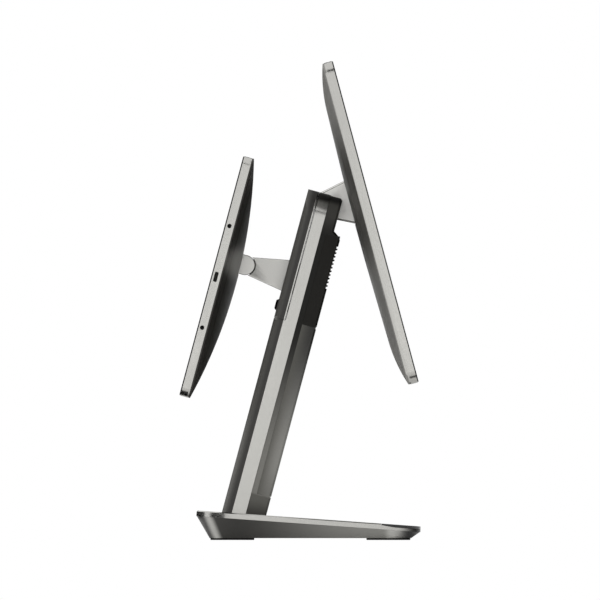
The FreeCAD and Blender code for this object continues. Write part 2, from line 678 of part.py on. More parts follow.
def rear_cover(name, low, high, round_top=False):
    """Rear shell with rounded upright corners, open towards the web."""
    body = new_body(name, "column")
    section = new_sketch(body, "XY", low)
    loop(section, [(f"-{HALF}", "-rearCoverDepth"), (HALF, "-rearCoverDepth"),
                   (HALF, "0", "rearCorner"), (f"-{HALF}", "0", "rearCorner")])
    pad(body, section, f"({high})-({low})")
    if round_top:
        trim_to_outline(body, "0")
    hollow = new_sketch(body, "XZ", "rearCoverDepth")
    centred_loop(hollow, "columnWidth-2*coverWall", f"({low})+coverWall", f"({high})-coverWall",
                 top_radius="columnTopRadius-coverWall" if round_top else None)
    pocket(body, hollow, "rearCoverDepth-coverWall")
    return body


def upper_rear_cover():
    body = rear_cover("upper_rear_cover", SEAM, "columnHeight", round_top=True)
    openings = new_sketch(body, "XZ", "-5")
    centred_loop(openings, "buttonWidth+2*buttonPlay", f"{BUTTON_W}-buttonHeight/2-buttonPlay",
                 f"{BUTTON_W}+buttonHeight/2+buttonPlay", "buttonHeight*0.3+buttonPlay")
    low, high = ARM_ROOT
    centred_loop(openings, "rearArmWidth+2*windowPlay", f"{low}-windowPlay",
                 f"{high}+windowPlay")
    pocket(body, openings, flip=True)
    return body


def lower_rear_cover():
    body = rear_cover("lower_rear_cover", "-6", f"{SEAM}-seamGap")
    cut_foot(body)
    outlet = new_sketch(body, "XZ", "-5")
    centred_loop(outlet, "cableHoleWidth", "-30", "outletHeight", "cableHoleRound")
    pocket(body, outlet, flip=True)
    return body


def rear_cover_trim():
    body = new_body("rear_cover_trim", "column")
    lip = new_sketch(body, "XZ", "rearCoverDepth")
    column_outline(lip, low=SEAM)
    column_outline_inner(lip)
    pad(body, lip, "trimDepth")
    slot = new_sketch(body, "XZ", "0")
    centred_loop(slot, "slotWidth", f"{SEAM}+20", "columnHeight+10")
    pocket(body, slot, flip=True)
    return body


def column_outline_inner(sketch):
    centred_loop(sketch, "columnWidth-2*trimWall", f"{SEAM}+trimWall", "columnHeight-trimWall",
                 top_radius="columnTopRadius-trimWall")


def release_button():
    body = new_body("release_button", "column")
    cap = new_sketch(body, "XZ", "-buttonProud")
    centred_loop(cap, "buttonWidth", f"{BUTTON_W}-buttonHeight/2",
                 f"{BUTTON_W}+buttonHeight/2", "buttonHeight*0.3")
    pad(body, cap, "buttonProud+coverWall+buttonPlay")
    outer = value("buttonProud")
    soften(body, lambda edge: edge.BoundBox.YMin > outer - 0.01, "buttonRound*0.8", "Chamfer")
    flange = new_sketch(body, "XZ", "coverWall+buttonPlay")
    centred_loop(flange, "buttonWidth+2*buttonFlange",
                 f"{BUTTON_W}-buttonHeight/2-buttonFlange",
                 f"{BUTTON_W}+buttonHeight/2+buttonFlange")
    pad(body, flange, "buttonFlangeDepth")
    stem = new_sketch(body, "XZ", "coverWall+buttonPlay")
    hexagons(stem, [("0", BUTTON_W)], "buttonHeight/4")
    pad(body, stem, "buttonFlangeDepth*2")
    return body


def button_leaf_spring():
    """Spring-steel strip that lies on the web and reaches under the button's stem."""
    body = new_body("button_leaf_spring", "column")
    sketch = new_sketch(body, "XY", BUTTON_W)
    web = "-(rearCoverDepth+webOffset)"
    tip = "-(coverWall+buttonPlay+2*buttonFlangeDepth+buttonTravel+0.25)"
    thick = "leafThickness"
    loop(sketch, [("24", web), ("13", web), ("4", f"{tip}-{thick}"), ("-4", f"{tip}-{thick}"),
                  ("-4", tip), ("4", tip), ("13", f"{web}+{thick}"), ("24", f"{web}+{thick}")])
    pad(body, sketch, "leafWidth", both=True)
    return body


# ---------------------------------------------------------------- electronics

SPREADER_LOW = f"({SEAM}+coverWall+spreaderFootPlay)"
SPREADER_HIGH = f"({UPPER_EDGE}-coverWall-spreaderHeadPlay)"
CHIP_W = f"(({SPREADER_LOW}+{SPREADER_HIGH})/2)"
BOARD_FACE = "(boardDepth+boardThickness)"


def mainboard():
    body = new_body("mainboard", "column")
    plan = new_sketch(body, "XZ", "boardDepth")
    centred_loop(plan, "boardWidth", BOARD_LOW, BOARD_HIGH)
    pad(body, plan, "boardThickness")
    chip = new_sketch(body, "XZ", BOARD_FACE)
    centred_loop(chip, "chipSize", f"{CHIP_W}-chipSize/2", f"{CHIP_W}+chipSize/2")
    pad(body, chip, "chipHeight")
    holes = new_sketch(body, "XZ", "boardDepth")
    hexagons(holes, BOARD_HOLES, "smallShank/2+0.1")
    pocket(body, holes, flip=True)
    return body


def heat_spreader():
    body = new_body("heat_spreader", "column")
    start = f"{BOARD_FACE}+chipHeight"
    plan = new_sketch(body, "XZ", start)
    centred_loop(plan, "spreaderWidth", SPREADER_LOW, SPREADER_HIGH)
    pad(body, plan, f"columnDepth-sinkWall-({start})")
    return body


def board_module(name, left, low, width, height, thickness):
    body = new_body(name, "column")
    plan = new_sketch(body, "XZ", BOARD_FACE)
    box_loop(plan, left, f"{left}+{width}", f"{BOARD_LOW}+{low}", f"{BOARD_LOW}+{low}+{height}")
    pad(body, plan, thickness)
    return body


def connector_block():
    """Row of sockets along the board's lower edge, mouths down towards the base."""
    body = new_body("connector_block", "column")
    plan = new_sketch(body, "XZ", BOARD_FACE)
    mouths = new_sketch(body, "XY", BOARD_LOW)
    left = -62
    for width in (14, 16, 14, 14, 16, 9):
        box_loop(plan, str(left), str(left + width), BOARD_LOW, f"{BOARD_LOW}+jackHeight")
        box_loop(mouths, str(left + 1.2), str(left + width - 1.2),
                 f"-({BOARD_FACE}+jackDepth-1.2)", f"-({BOARD_FACE}+1.2)")
        left += width + 7
    pad(body, plan, "jackDepth")
    pocket(body, mouths, "jackHeight*0.8", flip=True)
    return body


# ---------------------------------------------------------------- head hinge

def side_pads(body, draw, inner, width):
    """The same YZ outline padded outwards on both sides of the middle plane."""
    for sign in ("1", "-1"):
        sketch = new_sketch(body, "YZ", f"{sign}*({inner})")
        draw(sketch)
        pad(body, sketch, width, flip=sign == "-1")


def head_hinge_brackets():
    body = new_body("head_hinge_brackets", "column")
    low, high = f"{PIVOT_W}-hingeBracketRadius", f"{PIVOT_W}+hingeBracketRadius"

    def block(sketch):
        box_loop(sketch, "-headPivotDepth", f"-{WEB_FRONT}", f"{low}-hingeFootHeight", high)

    def barrel(sketch):
        hexagons(sketch, [("-headPivotDepth", PIVOT_W)], "hingeBracketRadius")

    side_pads(body, block, HINGE_X, "hingeBracketWidth")
    side_pads(body, barrel, HINGE_X, "hingeBracketWidth")
    foot = new_sketch(body, "XZ", WEB_FRONT)
    for left, right in sides("hingeBracketWidth+hingeFootWidth", HINGE_X):
        box_loop(foot, left, right, f"{low}-hingeFootHeight", f"{low}-0.2")
    pad(body, foot, "hingeFootThickness")
    bore = new_sketch(body, "YZ")
    ring(bore, "-headPivotDepth", PIVOT_W, "hingePin/2+pinPlay")
    pocket(body, bore, both=True)
    holes = new_sketch(body, "XZ", WEB_FRONT)
    hexagons(holes, HINGE_FOOT_HOLES, "smallShank/2")
    pocket(body, holes, flip=True)
    return body


def head_friction_discs():
    body = new_body("head_friction_discs", "column")

    def disc(sketch):
        hexagons(sketch, [("-headPivotDepth", PIVOT_W)], "discRadius")
        ring(sketch, "-headPivotDepth", PIVOT_W, "hingePin/2+pinPlay")

    side_pads(body, disc, f"{HINGE_X}+hingeBracketWidth", "discWidth")
    return body


def head_hinge_shaft():
    body = new_body("head_hinge_shaft", "main")
    rod = new_sketch(body, "YZ")
    ring(rod, "0", "0", "hingePin/2")
    pad(body, rod, f"2*({HINGE_X}+hingeBracketWidth+discWidth+discPlay+nutWidth+1)", both=True)
    tip = value(f"{HINGE_X}+hingeBracketWidth+discWidth+discPlay+nutWidth")
    soften(body, lambda edge: abs(edge.BoundBox.XMin) > tip, "0.6", "Chamfer")
    return body


def head_hinge_nuts():
    body = new_body("head_hinge_nuts", "main")

    def outline(sketch):
        hexagons(sketch, [("0", "0")], "nutRadius")
        ring(sketch, "0", "0", "hingePin/2")

    side_pads(body, outline, f"{HINGE_X}+hingeBracketWidth+discWidth+discPlay", "nutWidth")
    return body


# ---------------------------------------------------------------- arms

ARM_SEAT = "(mainReach-mainSeatDepth)"
ARM_FACE = "(mainReach-mainDepth+0.9)"


def arm_edge(angle):
    """Half height of the arm at its face, for an edge that leaves the hub at this angle."""
    return f"(hubRadius*cos({angle})+({ARM_FACE}+hubRadius*sin({angle}))*tan({angle}))"


MAIN_TOP = arm_edge("armUpperAngle")
MAIN_LOW = arm_edge("armLowerAngle")
ARM_SCREWS = four("armWidth/2-12", f"-{MAIN_LOW}+7", f"{MAIN_TOP}-6")
ARM_ROOT = ("(rearPivotHeight-rearArmRoot/2+rearArmRootDrop)",
            "(rearPivotHeight+rearArmRoot/2+rearArmRootDrop)")
KNUCKLE_SEAT = "(rearReach-rearSeatDepth)"
KNUCKLE_SCREWS = four("(knuckleInner+rearArmWidth)/4", "-knuckleRadius/2", "knuckleRadius/2")


def main_arm():
    body = new_body("main_arm", "main")
    hub = new_sketch(body, "YZ")
    ring(hub, "0", "0", "hubRadius")
    pad(body, hub, "armWidth", both=True)
    wedge = new_sketch(body, "YZ")
    up, down = "armUpperAngle", "armLowerAngle"
    loop(wedge, [(f"hubRadius*sin({up})", f"hubRadius*cos({up})"), (f"-{ARM_FACE}", MAIN_TOP),
                 (f"-{ARM_SEAT}", MAIN_TOP), (f"-{ARM_SEAT}", f"-{MAIN_LOW}"),
                 (f"-{ARM_FACE}", f"-{MAIN_LOW}"),
                 (f"hubRadius*sin({down})", f"-hubRadius*cos({down})")])
    pad(body, wedge, "armWidth", both=True)
    bore = new_sketch(body, "YZ")
    ring(bore, "0", "0", "hingePin/2")
    pocket(body, bore, both=True)
    half = value("armWidth/2")

    def flank(edge):
        box = edge.BoundBox
        at_side = abs(abs(box.XMin) - half) < 0.01 and box.XLength < 0.01
        outside = box.DiagonalLength > value("hingePin*1.5")
        return at_side and outside and box.YMin > -value(ARM_FACE) - 0.1

    hollow = new_sketch(body, "XZ", ARM_SEAT)
    centred_loop(hollow, "armWidth-50", f"-{MAIN_LOW}+5", f"{MAIN_TOP}-5")
    pocket(body, hollow, f"{ARM_SEAT}-hubRadius+1")
    threads = new_sketch(body, "XZ", ARM_SEAT)
    hexagons(threads, ARM_SCREWS, "largeShank/2")
    pocket(body, threads, "largeShank*1.6")
    soften(body, flank, "armChamfer", "Chamfer")
    return body


def rear_arm():
    body = new_body("rear_arm", "column")
    side = new_sketch(body, "YZ")
    web = "-(rearCoverDepth+webOffset)"
    low, high = ARM_ROOT
    tip_low, tip_high = "rearPivotHeight-rearArmTip/2", "rearPivotHeight+rearArmTip/2"
    loop(side, [(web, low), ("0", low), ("rearArmReach", tip_low), ("rearArmReach", tip_high),
                ("0", high), (web, high)])
    pad(body, side, "rearArmWidth", both=True)
    round_cut = new_sketch(body, "YZ")
    ring(round_cut, "rearPivotReach", "rearPivotHeight", "knuckleRadius+knucklePlay")
    pocket(body, round_cut, both=True)
    neck = new_sketch(body, "YZ")
    box_loop(neck, "rearArmReach*0.6", "rearPivotReach", "rearPivotHeight-tongueRadius*0.8",
             "rearPivotHeight+tongueRadius*0.8")
    pad(body, neck, "tongueWidth", both=True)
    tongue = new_sketch(body, "YZ")
    ring(tongue, "rearPivotReach", "rearPivotHeight", "tongueRadius")
    pad(body, tongue, "tongueWidth", both=True)
    bore = new_sketch(body, "YZ")
    ring(bore, "rearPivotReach", "rearPivotHeight", "rearPin/2+pinPlay")
    pocket(body, bore, both=True)
    threads = new_sketch(body, "XZ", "rearCoverDepth+webOffset")
    hexagons(threads, REAR_ARM_HOLES, "largeShank/2")
    pocket(body, threads, "largeShank*2.5")
    return body


def rear_knuckle():
    body = new_body("rear_knuckle", "rear")
    block = new_sketch(body, "YZ")
    box_loop(block, f"-{KNUCKLE_SEAT}", "0", "-knuckleRadius", "knuckleRadius")
    pad(body, block, "rearArmWidth", both=True)
    barrel = new_sketch(body, "YZ")
    ring(barrel, "0", "0", "knuckleRadius")
    pad(body, barrel, "rearArmWidth", both=True)
    gap = new_sketch(body, "XY")
    centred_loop(gap, "knuckleInner", "-tongueRadius-knucklePlay", "knuckleRadius+5")
    pocket(body, gap, both=True)
    bore = new_sketch(body, "YZ")
    ring(bore, "0", "0", "rearPin/2")
    pocket(body, bore, both=True)
    threads = new_sketch(body, "XZ", KNUCKLE_SEAT)
    hexagons(threads, KNUCKLE_SCREWS, "smallShank/2")
    pocket(body, threads, "smallShank*2")
    return body


def rear_hinge_shaft():
    body = new_body("rear_hinge_shaft", "rear")
    rod = new_sketch(body, "YZ")
    ring(rod, "0", "0", "rearPin/2")
    pad(body, rod, "rearArmWidth-1", both=True)
    return body


def rear_friction_washers():
    body = new_body("rear_friction_washers", "rear")

    def washer(sketch):
        hexagons(sketch, [("0", "0")], "washerRadius")
        ring(sketch, "0", "0", "rearPin/2")

    side_pads(body, washer, "knuckleInner/2-washerWidth", "washerWidth")
    return body


# ---------------------------------------------------------------- displays

def behind(kind, depth):
    """Sketch offset of a plane `depth` behind the glass face."""
    return f"({kind}Reach-({depth}))"


def display_outline(sketch, kind, inset="0", sharp=False):
    """Front outline of a display, its corner radius following the inset unless it is sharp."""
    low = f"-{kind}Drop-{kind}Height/2+({inset})"
    high = f"-{kind}Drop+{kind}Height/2-({inset})"
    radius = None if sharp else f"{kind}Round-({inset})"
    centred_loop(sketch, f"{kind}Width-2*({inset})", low, high, radius)


def cut_crown(body, kind, across):
    """Trim a cover to its crowned profile: sloping shoulders that run into a low crest."""
    half = f"({kind}{'Width' if across else 'Height'}/2)"
    shoulder = f"{kind}Edge+{kind}Shoulder"

    def spot(place, depth, *radius):
        back = f"{depth}-{kind}Reach"
        return (place, back, *radius) if across else (back, f"{place}-{kind}Drop", *radius)

    sketch = new_sketch(body, "XY" if across else "YZ")
    loop(sketch, [spot(f"-{half}-5", f"{kind}Edge"), spot(f"-{half}", f"{kind}Edge"),
                  spot(f"-{half}+{kind}ShoulderRun", shoulder, f"{kind}ShoulderRound"),
                  spot("0", f"{shoulder}+{kind}Crest", f"{kind}CrestRound"),
                  spot(f"{half}-{kind}ShoulderRun", shoulder, f"{kind}ShoulderRound"),
                  spot(half, f"{kind}Edge"), spot(f"{half}+5", f"{kind}Edge"),
                  spot(f"{half}+5", f"{kind}Depth+9"), spot(f"-{half}-5", f"{kind}Depth+9")])
    pocket(body, sketch, both=True)


def display_frame(kind):
    body = new_body(f"{kind}_frame", kind)
    band = new_sketch(body, "XZ", behind(kind, "frameDepth"))
    display_outline(band, kind)
    display_outline(band, kind, "frameWall")
    pad(body, band, "frameDepth-glassThickness")
    lip = new_sketch(body, "XZ", behind(kind, "frameDepth"))
    display_outline(lip, kind, "frameWall/2")
    display_outline(lip, kind, "frameWall+frameLip", sharp=True)
    pad(body, lip, "frameLipDepth")
    boss = new_sketch(body, "XZ", behind(kind, "frameDepth"))
    inner = f"{kind}Width/2-frameWall-portBossDepth"
    box_loop(boss, inner, f"{kind}Width/2-frameWall/2", f"-{kind}Drop-portBossLength/2",
             f"-{kind}Drop+portBossLength/2")
    pad(body, boss, "frameDepth-glassThickness")
    middle = f"-{behind(kind, '(frameDepth+glassThickness)/2')}"
    holes = new_sketch(body, "YZ", f"{kind}Width/2+1")
    for sign in ("-1", "1"):
        ring(holes, middle, f"-{kind}Drop+{sign}*portPitch/2", "portHole/2")
    box_loop(holes, f"{middle}-portSlotHeight/2", f"{middle}+portSlotHeight/2",
             f"-{kind}Drop-portSlotLength/2", f"-{kind}Drop+portSlotLength/2", "0.8")
    pocket(body, holes, "1+frameWall+portBossDepth+1")
    half = value(f"{kind}Width/2")
    low, high = value(f"-{kind}Drop-{kind}Height/2"), value(f"-{kind}Drop+{kind}Height/2")

    def rim(edge):
        box = edge.BoundBox
        at_face = box.YLength < 0.01 and abs(box.YMin + value(f"{kind}Reach-frameDepth")) < 0.01
        outside = (abs(box.XMin) > half - 0.01 or abs(box.XMax) > half - 0.01
                   or box.ZMin < low + 0.01 or box.ZMax > high - 0.01)
        return at_face and outside

    soften(body, rim, "bandChamfer", "Chamfer")
    return body


def cover_glass(kind):
    body = new_body(f"{kind}_cover_glass", kind)
    plan = new_sketch(body, "XZ", behind(kind, "glassThickness"))
    display_outline(plan, kind, "glassInset")
    pad(body, plan, "glassThickness")
    return body


def display_panel(kind):
    body = new_body(f"{kind}_panel", kind)
    plan = new_sketch(body, "XZ", behind(kind, "glassThickness+panelDepth"))
    display_outline(plan, kind, "frameWall+panelBorder", sharp=True)
    pad(body, plan, "panelDepth")
    return body


def plate_screws(kind):
    x = f"{kind}Width/2-displayScrewInset"
    low = f"-{kind}Drop-{kind}Height/2+displayScrewInset"
    high = f"-{kind}Drop+{kind}Height/2-displayScrewInset"
    return four(x, low, high)


def mount_plate(kind, width, low, high, spots, size):
    """Steel plate behind the panel, with a raised seat for the arm and its screws."""
    body = new_body(f"{kind}_mount_plate", kind)
    plan = new_sketch(body, "XZ", behind(kind, "frameDepth+plateThickness"))
    display_outline(plan, kind, "plateInset", sharp=True)
    pad(body, plan, "plateThickness")
    seat = new_sketch(body, "XZ", behind(kind, f"{kind}SeatDepth"))
    centred_loop(seat, width, low, high)
    pad(body, seat, f"{kind}SeatDepth-frameDepth")
    stands = new_sketch(body, "XZ", behind(kind, "frameDepth+plateThickness+boardStand"))
    hexagons(stands, board_spots(kind), "smallShank")
    pad(body, stands, "boardStand+plateThickness/2")
    holes = new_sketch(body, "XZ", behind(kind, "frameDepth"))
    hexagons(holes, spots, size + "Shank/2+0.1")
    hexagons(holes, plate_screws(kind), "smallShank/2")
    pocket(body, holes)
    sinks = new_sketch(body, "XZ", behind(kind, "frameDepth"))
    hexagons(sinks, spots, size + "Head/2+0.2")
    pocket(body, sinks, size + "HeadHeight+0.2")
    return body


def board_spots(kind):
    return four("displayBoardLength/2-4", f"-{kind}Drop-boardDrop-displayBoardHeight/2+4",
                f"-{kind}Drop-boardDrop+displayBoardHeight/2-4")


def controller_board(kind):
    body = new_body(f"{kind}_controller_board", kind)
    rear = "frameDepth+plateThickness+boardStand+boardThickness"
    middle = f"-{kind}Drop-boardDrop"
    plan = new_sketch(body, "XZ", behind(kind, rear))
    centred_loop(plan, "displayBoardLength", f"{middle}-displayBoardHeight/2",
                 f"{middle}+displayBoardHeight/2")
    pad(body, plan, "boardThickness")
    chips = new_sketch(body, "XZ", behind(kind, f"{rear}+chipHeight/2"))
    for left, right in (("-22", "-8"), ("6", "14")):
        box_loop(chips, left, right, f"{middle}-6", f"{middle}+6")
    pad(body, chips, "chipHeight/2")
    return body


def back_cover(kind, width, low, high):
    """Moulded cover: crowned outside, hollowed in three levels that follow the crown."""
    body = new_body(f"{kind}_back_cover", kind)
    blank = new_sketch(body, "XZ", behind(kind, f"{kind}Depth+2"))
    display_outline(blank, kind)
    pad(body, blank, f"{kind}Depth+2-frameDepth")
    cut_crown(body, kind, across=False)
    cut_crown(body, kind, across=True)
    shoulder = f"{kind}Edge+{kind}Shoulder-shellWall"
    levels = (("shellWall", "frameDepth+plateThickness"),
              (f"{kind}ShoulderRun", f"{shoulder}-{kind}Shoulder*0.27"),
              (f"{kind}Height*0.28", f"{shoulder}+{kind}Crest*0.4-{kind}Shoulder*0.1"))
    for inset, depth in levels:
        level = new_sketch(body, "XZ", behind(kind, "frameDepth"))
        display_outline(level, kind, inset, sharp=inset != "shellWall")
        pocket(body, level, f"{depth}-frameDepth")
    window = new_sketch(body, "XZ", behind(kind, "frameDepth"))
    centred_loop(window, f"{width}+2*windowPlay", f"{low}-windowPlay", f"{high}+windowPlay")
    pocket(body, window)
    holes = new_sketch(body, "XZ", behind(kind, "frameDepth"))
    hexagons(holes, plate_screws(kind), "smallShank/2+0.2")
    pocket(body, holes)
    sinks = new_sketch(body, "XZ", behind(kind, "screwSeatDepth"))
    hexagons(sinks, plate_screws(kind), "smallHead/2+0.3")
    pocket(body, sinks)
    return body


def port_socket(kind):
    body = new_body(f"{kind}_port_socket", kind)
    middle = f"-{behind(kind, '(frameDepth+glassThickness)/2')}"
    start = f"{kind}Width/2-0.5-portSocketDepth"
    shell = new_sketch(body, "YZ", start)
    tall, wide = "(portSlotLength/2-0.05)", "(portSlotHeight/2-0.05)"
    box_loop(shell, f"{middle}-{wide}", f"{middle}+{wide}", f"-{kind}Drop-{tall}",
             f"-{kind}Drop+{tall}", "0.75")
    pad(body, shell, "portSocketDepth")
    mouth = new_sketch(body, "YZ", f"{kind}Width/2-0.5")
    box_loop(mouth, f"{middle}-{wide}+0.4", f"{middle}+{wide}-0.4",
             f"-{kind}Drop-{tall}+0.4", f"-{kind}Drop+{tall}-0.4")
    box_loop(mouth, f"{middle}-0.3", f"{middle}+0.3", f"-{kind}Drop-{tall}+1.4",
             f"-{kind}Drop+{tall}-1.4")
    pocket(body, mouth, "portSocketDepth*0.8")
    return body


def display(kind, width, low, high, spots, size):
    display_frame(kind)
    cover_glass(kind)
    display_panel(kind)
    mount_plate(kind, width, low, high, spots, size)
    controller_board(kind)
    back_cover(kind, width, low, high)
    port_socket(kind)
    screw_group(f"{kind}_cover_screws", kind, "XZ", behind(kind, "screwSeatDepth"),
                plate_screws(kind), "small", "screwSeatDepth-frameDepth-0.2", flip=True)
    screw_group(f"{kind}_mount_screws", kind, "XZ",
                behind(kind, f"frameDepth+{size}HeadHeight+0.2"), spots, size,
                f"{kind}SeatDepth-frameDepth-{size}HeadHeight+{size}Shank")


# ---------------------------------------------------------------- the terminal

def build_all():
    base_top_plate()
    base_shell()
    base_weight()
    base_front_insert()
    rubber_feet()
    column_frame()
    front_housing()
    heatsink_cover()
    cable_cover()
    upper_rear_cover()
    lower_rear_cover()
    rear_cover_trim()
    release_button()
    button_leaf_spring()
    mainboard()
    heat_spreader()
    board_module("memory_module", "-68", "60", "30", "67", "3.4")
    board_module("storage_module", "40", "50", "22", "80", "2.6")
    connector_block()
    head_hinge_brackets()
    head_friction_discs()
    head_hinge_shaft()
    head_hinge_nuts()
    main_arm()
    rear_arm()
    rear_knuckle()
    rear_hinge_shaft()
    rear_friction_washers()
    display("main", "armWidth", f"-{MAIN_LOW}", MAIN_TOP, ARM_SCREWS, "large")
    display("rear", "rearArmWidth", "-knuckleRadius", "knuckleRadius", KNUCKLE_SCREWS, "small")
    screw_group("base_screws", "world", "XY", "footHeight+skirtFloor/2", BASE_SCREWS, "small",
                "skirtFloor/2+5.5", flip=True)
    screw_group("column_bolts", "world", "XY", BOLT_SEAT, COLUMN_BOLTS, "large",
                "deckThickness+footFlange", flip=True)
    screw_group("board_screws", "column", "XZ", BOARD_FACE, BOARD_HOLES, "small",
                f"{BOARD_FACE}-rearCoverDepth-webOffset")
    screw_group("hinge_bracket_screws", "column", "XZ", f"{WEB_FRONT}+hingeFootThickness",
                HINGE_FOOT_HOLES, "small", "hingeFootThickness+webThickness")
    screw_group("rear_arm_screws", "column", "XZ", WEB_FRONT, REAR_ARM_HOLES, "large",
                "webThickness+largeShank*2.4")


def export_all():
    doc.recompute()
    for item in doc.Objects:
        if "Invalid" in item.State or "Error" in item.State:
            raise RuntimeError(f"{item.Label} did not build: {item.State}")
    os.makedirs("parts", exist_ok=True)
    for body in PARTS:
        shape = body.Shape
        if shape.isNull() or not shape.isValid() or shape.Volume <= 0:
            raise RuntimeError(f"{body.Label} has no valid solid")
        shape.exportStep(f"parts/{body.Label}.step")
        print(f"{body.Label}: {len(shape.Solids)} solids, {shape.Volume:.0f} mm3")


build_all()
export_all()
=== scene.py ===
import json
import math
import bmesh
import bpy
from mathutils import Matrix, Vector

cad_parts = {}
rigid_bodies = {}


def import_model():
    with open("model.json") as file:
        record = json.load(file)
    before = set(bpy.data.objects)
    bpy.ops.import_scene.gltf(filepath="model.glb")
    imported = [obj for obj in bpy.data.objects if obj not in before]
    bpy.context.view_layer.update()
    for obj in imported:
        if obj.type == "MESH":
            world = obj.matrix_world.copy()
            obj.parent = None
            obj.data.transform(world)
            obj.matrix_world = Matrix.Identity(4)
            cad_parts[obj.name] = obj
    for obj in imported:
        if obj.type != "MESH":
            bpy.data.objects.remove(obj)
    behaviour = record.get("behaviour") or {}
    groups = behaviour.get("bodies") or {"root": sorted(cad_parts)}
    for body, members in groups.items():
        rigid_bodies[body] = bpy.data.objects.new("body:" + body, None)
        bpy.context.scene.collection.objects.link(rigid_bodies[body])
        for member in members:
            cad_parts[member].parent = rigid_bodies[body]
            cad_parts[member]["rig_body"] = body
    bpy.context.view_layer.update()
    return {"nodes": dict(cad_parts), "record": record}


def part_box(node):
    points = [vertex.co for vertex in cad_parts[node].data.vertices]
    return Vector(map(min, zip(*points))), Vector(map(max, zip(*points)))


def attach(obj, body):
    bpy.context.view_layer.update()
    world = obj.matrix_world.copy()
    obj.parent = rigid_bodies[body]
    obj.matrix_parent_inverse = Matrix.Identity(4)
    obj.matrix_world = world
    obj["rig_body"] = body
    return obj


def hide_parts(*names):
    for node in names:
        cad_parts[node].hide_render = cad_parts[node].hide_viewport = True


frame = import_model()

nodes = frame["nodes"]
rearPivot = (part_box("rear_hinge_shaft")[0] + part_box("rear_hinge_shaft")[1]) / 2
mainPivot = (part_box("head_hinge_shaft")[0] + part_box("head_hinge_shaft")[1]) / 2
mm = 0.001
print("frame loaded:", len(nodes), "nodes")

# the column leans towards the operator: its foot, its axis and the way its front faces
lean = math.radians(15)
columnFoot = Vector((0, 0.0594, 0.0211376))
columnUp = Vector((0, -math.sin(lean), math.cos(lean)))
columnFront = Vector((0, -math.cos(lean), -math.sin(lean)))
columnPlace = Matrix.Translation(columnFoot) @ Matrix.Rotation(lean, 4, "X")
towardsOperator = Vector((0, -1, 0))
# the line across which the skirt's painted corner highlight and painted shade are laid
cornerLine = Vector((0, 0.923, -0.385))              # across the slanted rear corners of the skirt
mainBack = Vector((0, math.cos(lean), -math.sin(lean)))          # the way each display's back faces
rearBack = Vector((0, -math.cos(lean), -math.sin(lean)))
seams = {"covers": 153.5, "chin": 224.2, "foot": 20.2, "gap": 0.3}     # heights up the column, mm
trimLine = {"depth": 8.75, "halfWidth": 0.42, "colour": "2b2a28"}      # mm from the rear face


def hexColour(code):
    # sRGB hex to the linear colour that shaders use
    parts = [int(code[i:i + 2], 16) / 255 for i in (0, 2, 4)]
    linear = [c / 12.92 if c <= 0.04045 else ((c + 0.055) / 1.055) ** 2.4 for c in parts]
    return (*linear, 1.0)


def perMetre(size):
    # how many features of this many millimetres fit in a metre: a texture's scale
    return 1000 / size


def addNode(tree, kind, inputs=None, **settings):
    # each input is given a number, a colour, or the node or socket to link from
    node = tree.nodes.new(kind)
    for name, setting in settings.items():
        setattr(node, name, setting)
    for name, source in (inputs or {}).items():
        if isinstance(source, bpy.types.Node):
            source = next(out for out in source.outputs if out.enabled)
        if isinstance(source, bpy.types.NodeSocket):
            tree.links.new(source, node.inputs[name])
        else:
            node.inputs[name].default_value = source
    return node


def newMaterial(name):
    material = bpy.data.materials.new(name)
    material.use_nodes = True
    tree = material.node_tree
    tree.nodes.clear()
    place = addNode(tree, "ShaderNodeTexCoord").outputs["Object"]
    return material, tree, place


def distanceAlong(tree, place, direction, start):
    # how far a point of the surface lies along a direction, in metres
    along = addNode(tree, "ShaderNodeVectorMath", {0: place, 1: direction},
                    operation="DOT_PRODUCT")
    return addNode(tree, "ShaderNodeMath", {0: along, 1: start.dot(direction)},
                   operation="SUBTRACT")


def distanceFrom(tree, place, centre):
    # how far a point of the surface lies from a hinge line that runs along X, in metres
    away = addNode(tree, "ShaderNodeVectorMath", {0: place, 1: centre}, operation="SUBTRACT")
    away = addNode(tree, "ShaderNodeVectorMath", {0: away, 1: (0, 1, 1)}, operation="MULTIPLY")
    return addNode(tree, "ShaderNodeVectorMath", {0: away}, operation="LENGTH")


def paintShadingTowards(tree, colour, distance, noneAt, fullAt, tint):
    # the colour turns to a tint of painted light or shade from one distance to another, both in
    # millimetres
    share = addNode(tree, "ShaderNodeMapRange",
                    {"Value": distance, "From Min": noneAt * mm, "From Max": fullAt * mm},
                    interpolation_type="SMOOTHSTEP")
    return addNode(tree, "ShaderNodeMix", {0: share, 6: colour, 7: hexColour(tint)},
                   data_type="RGBA")


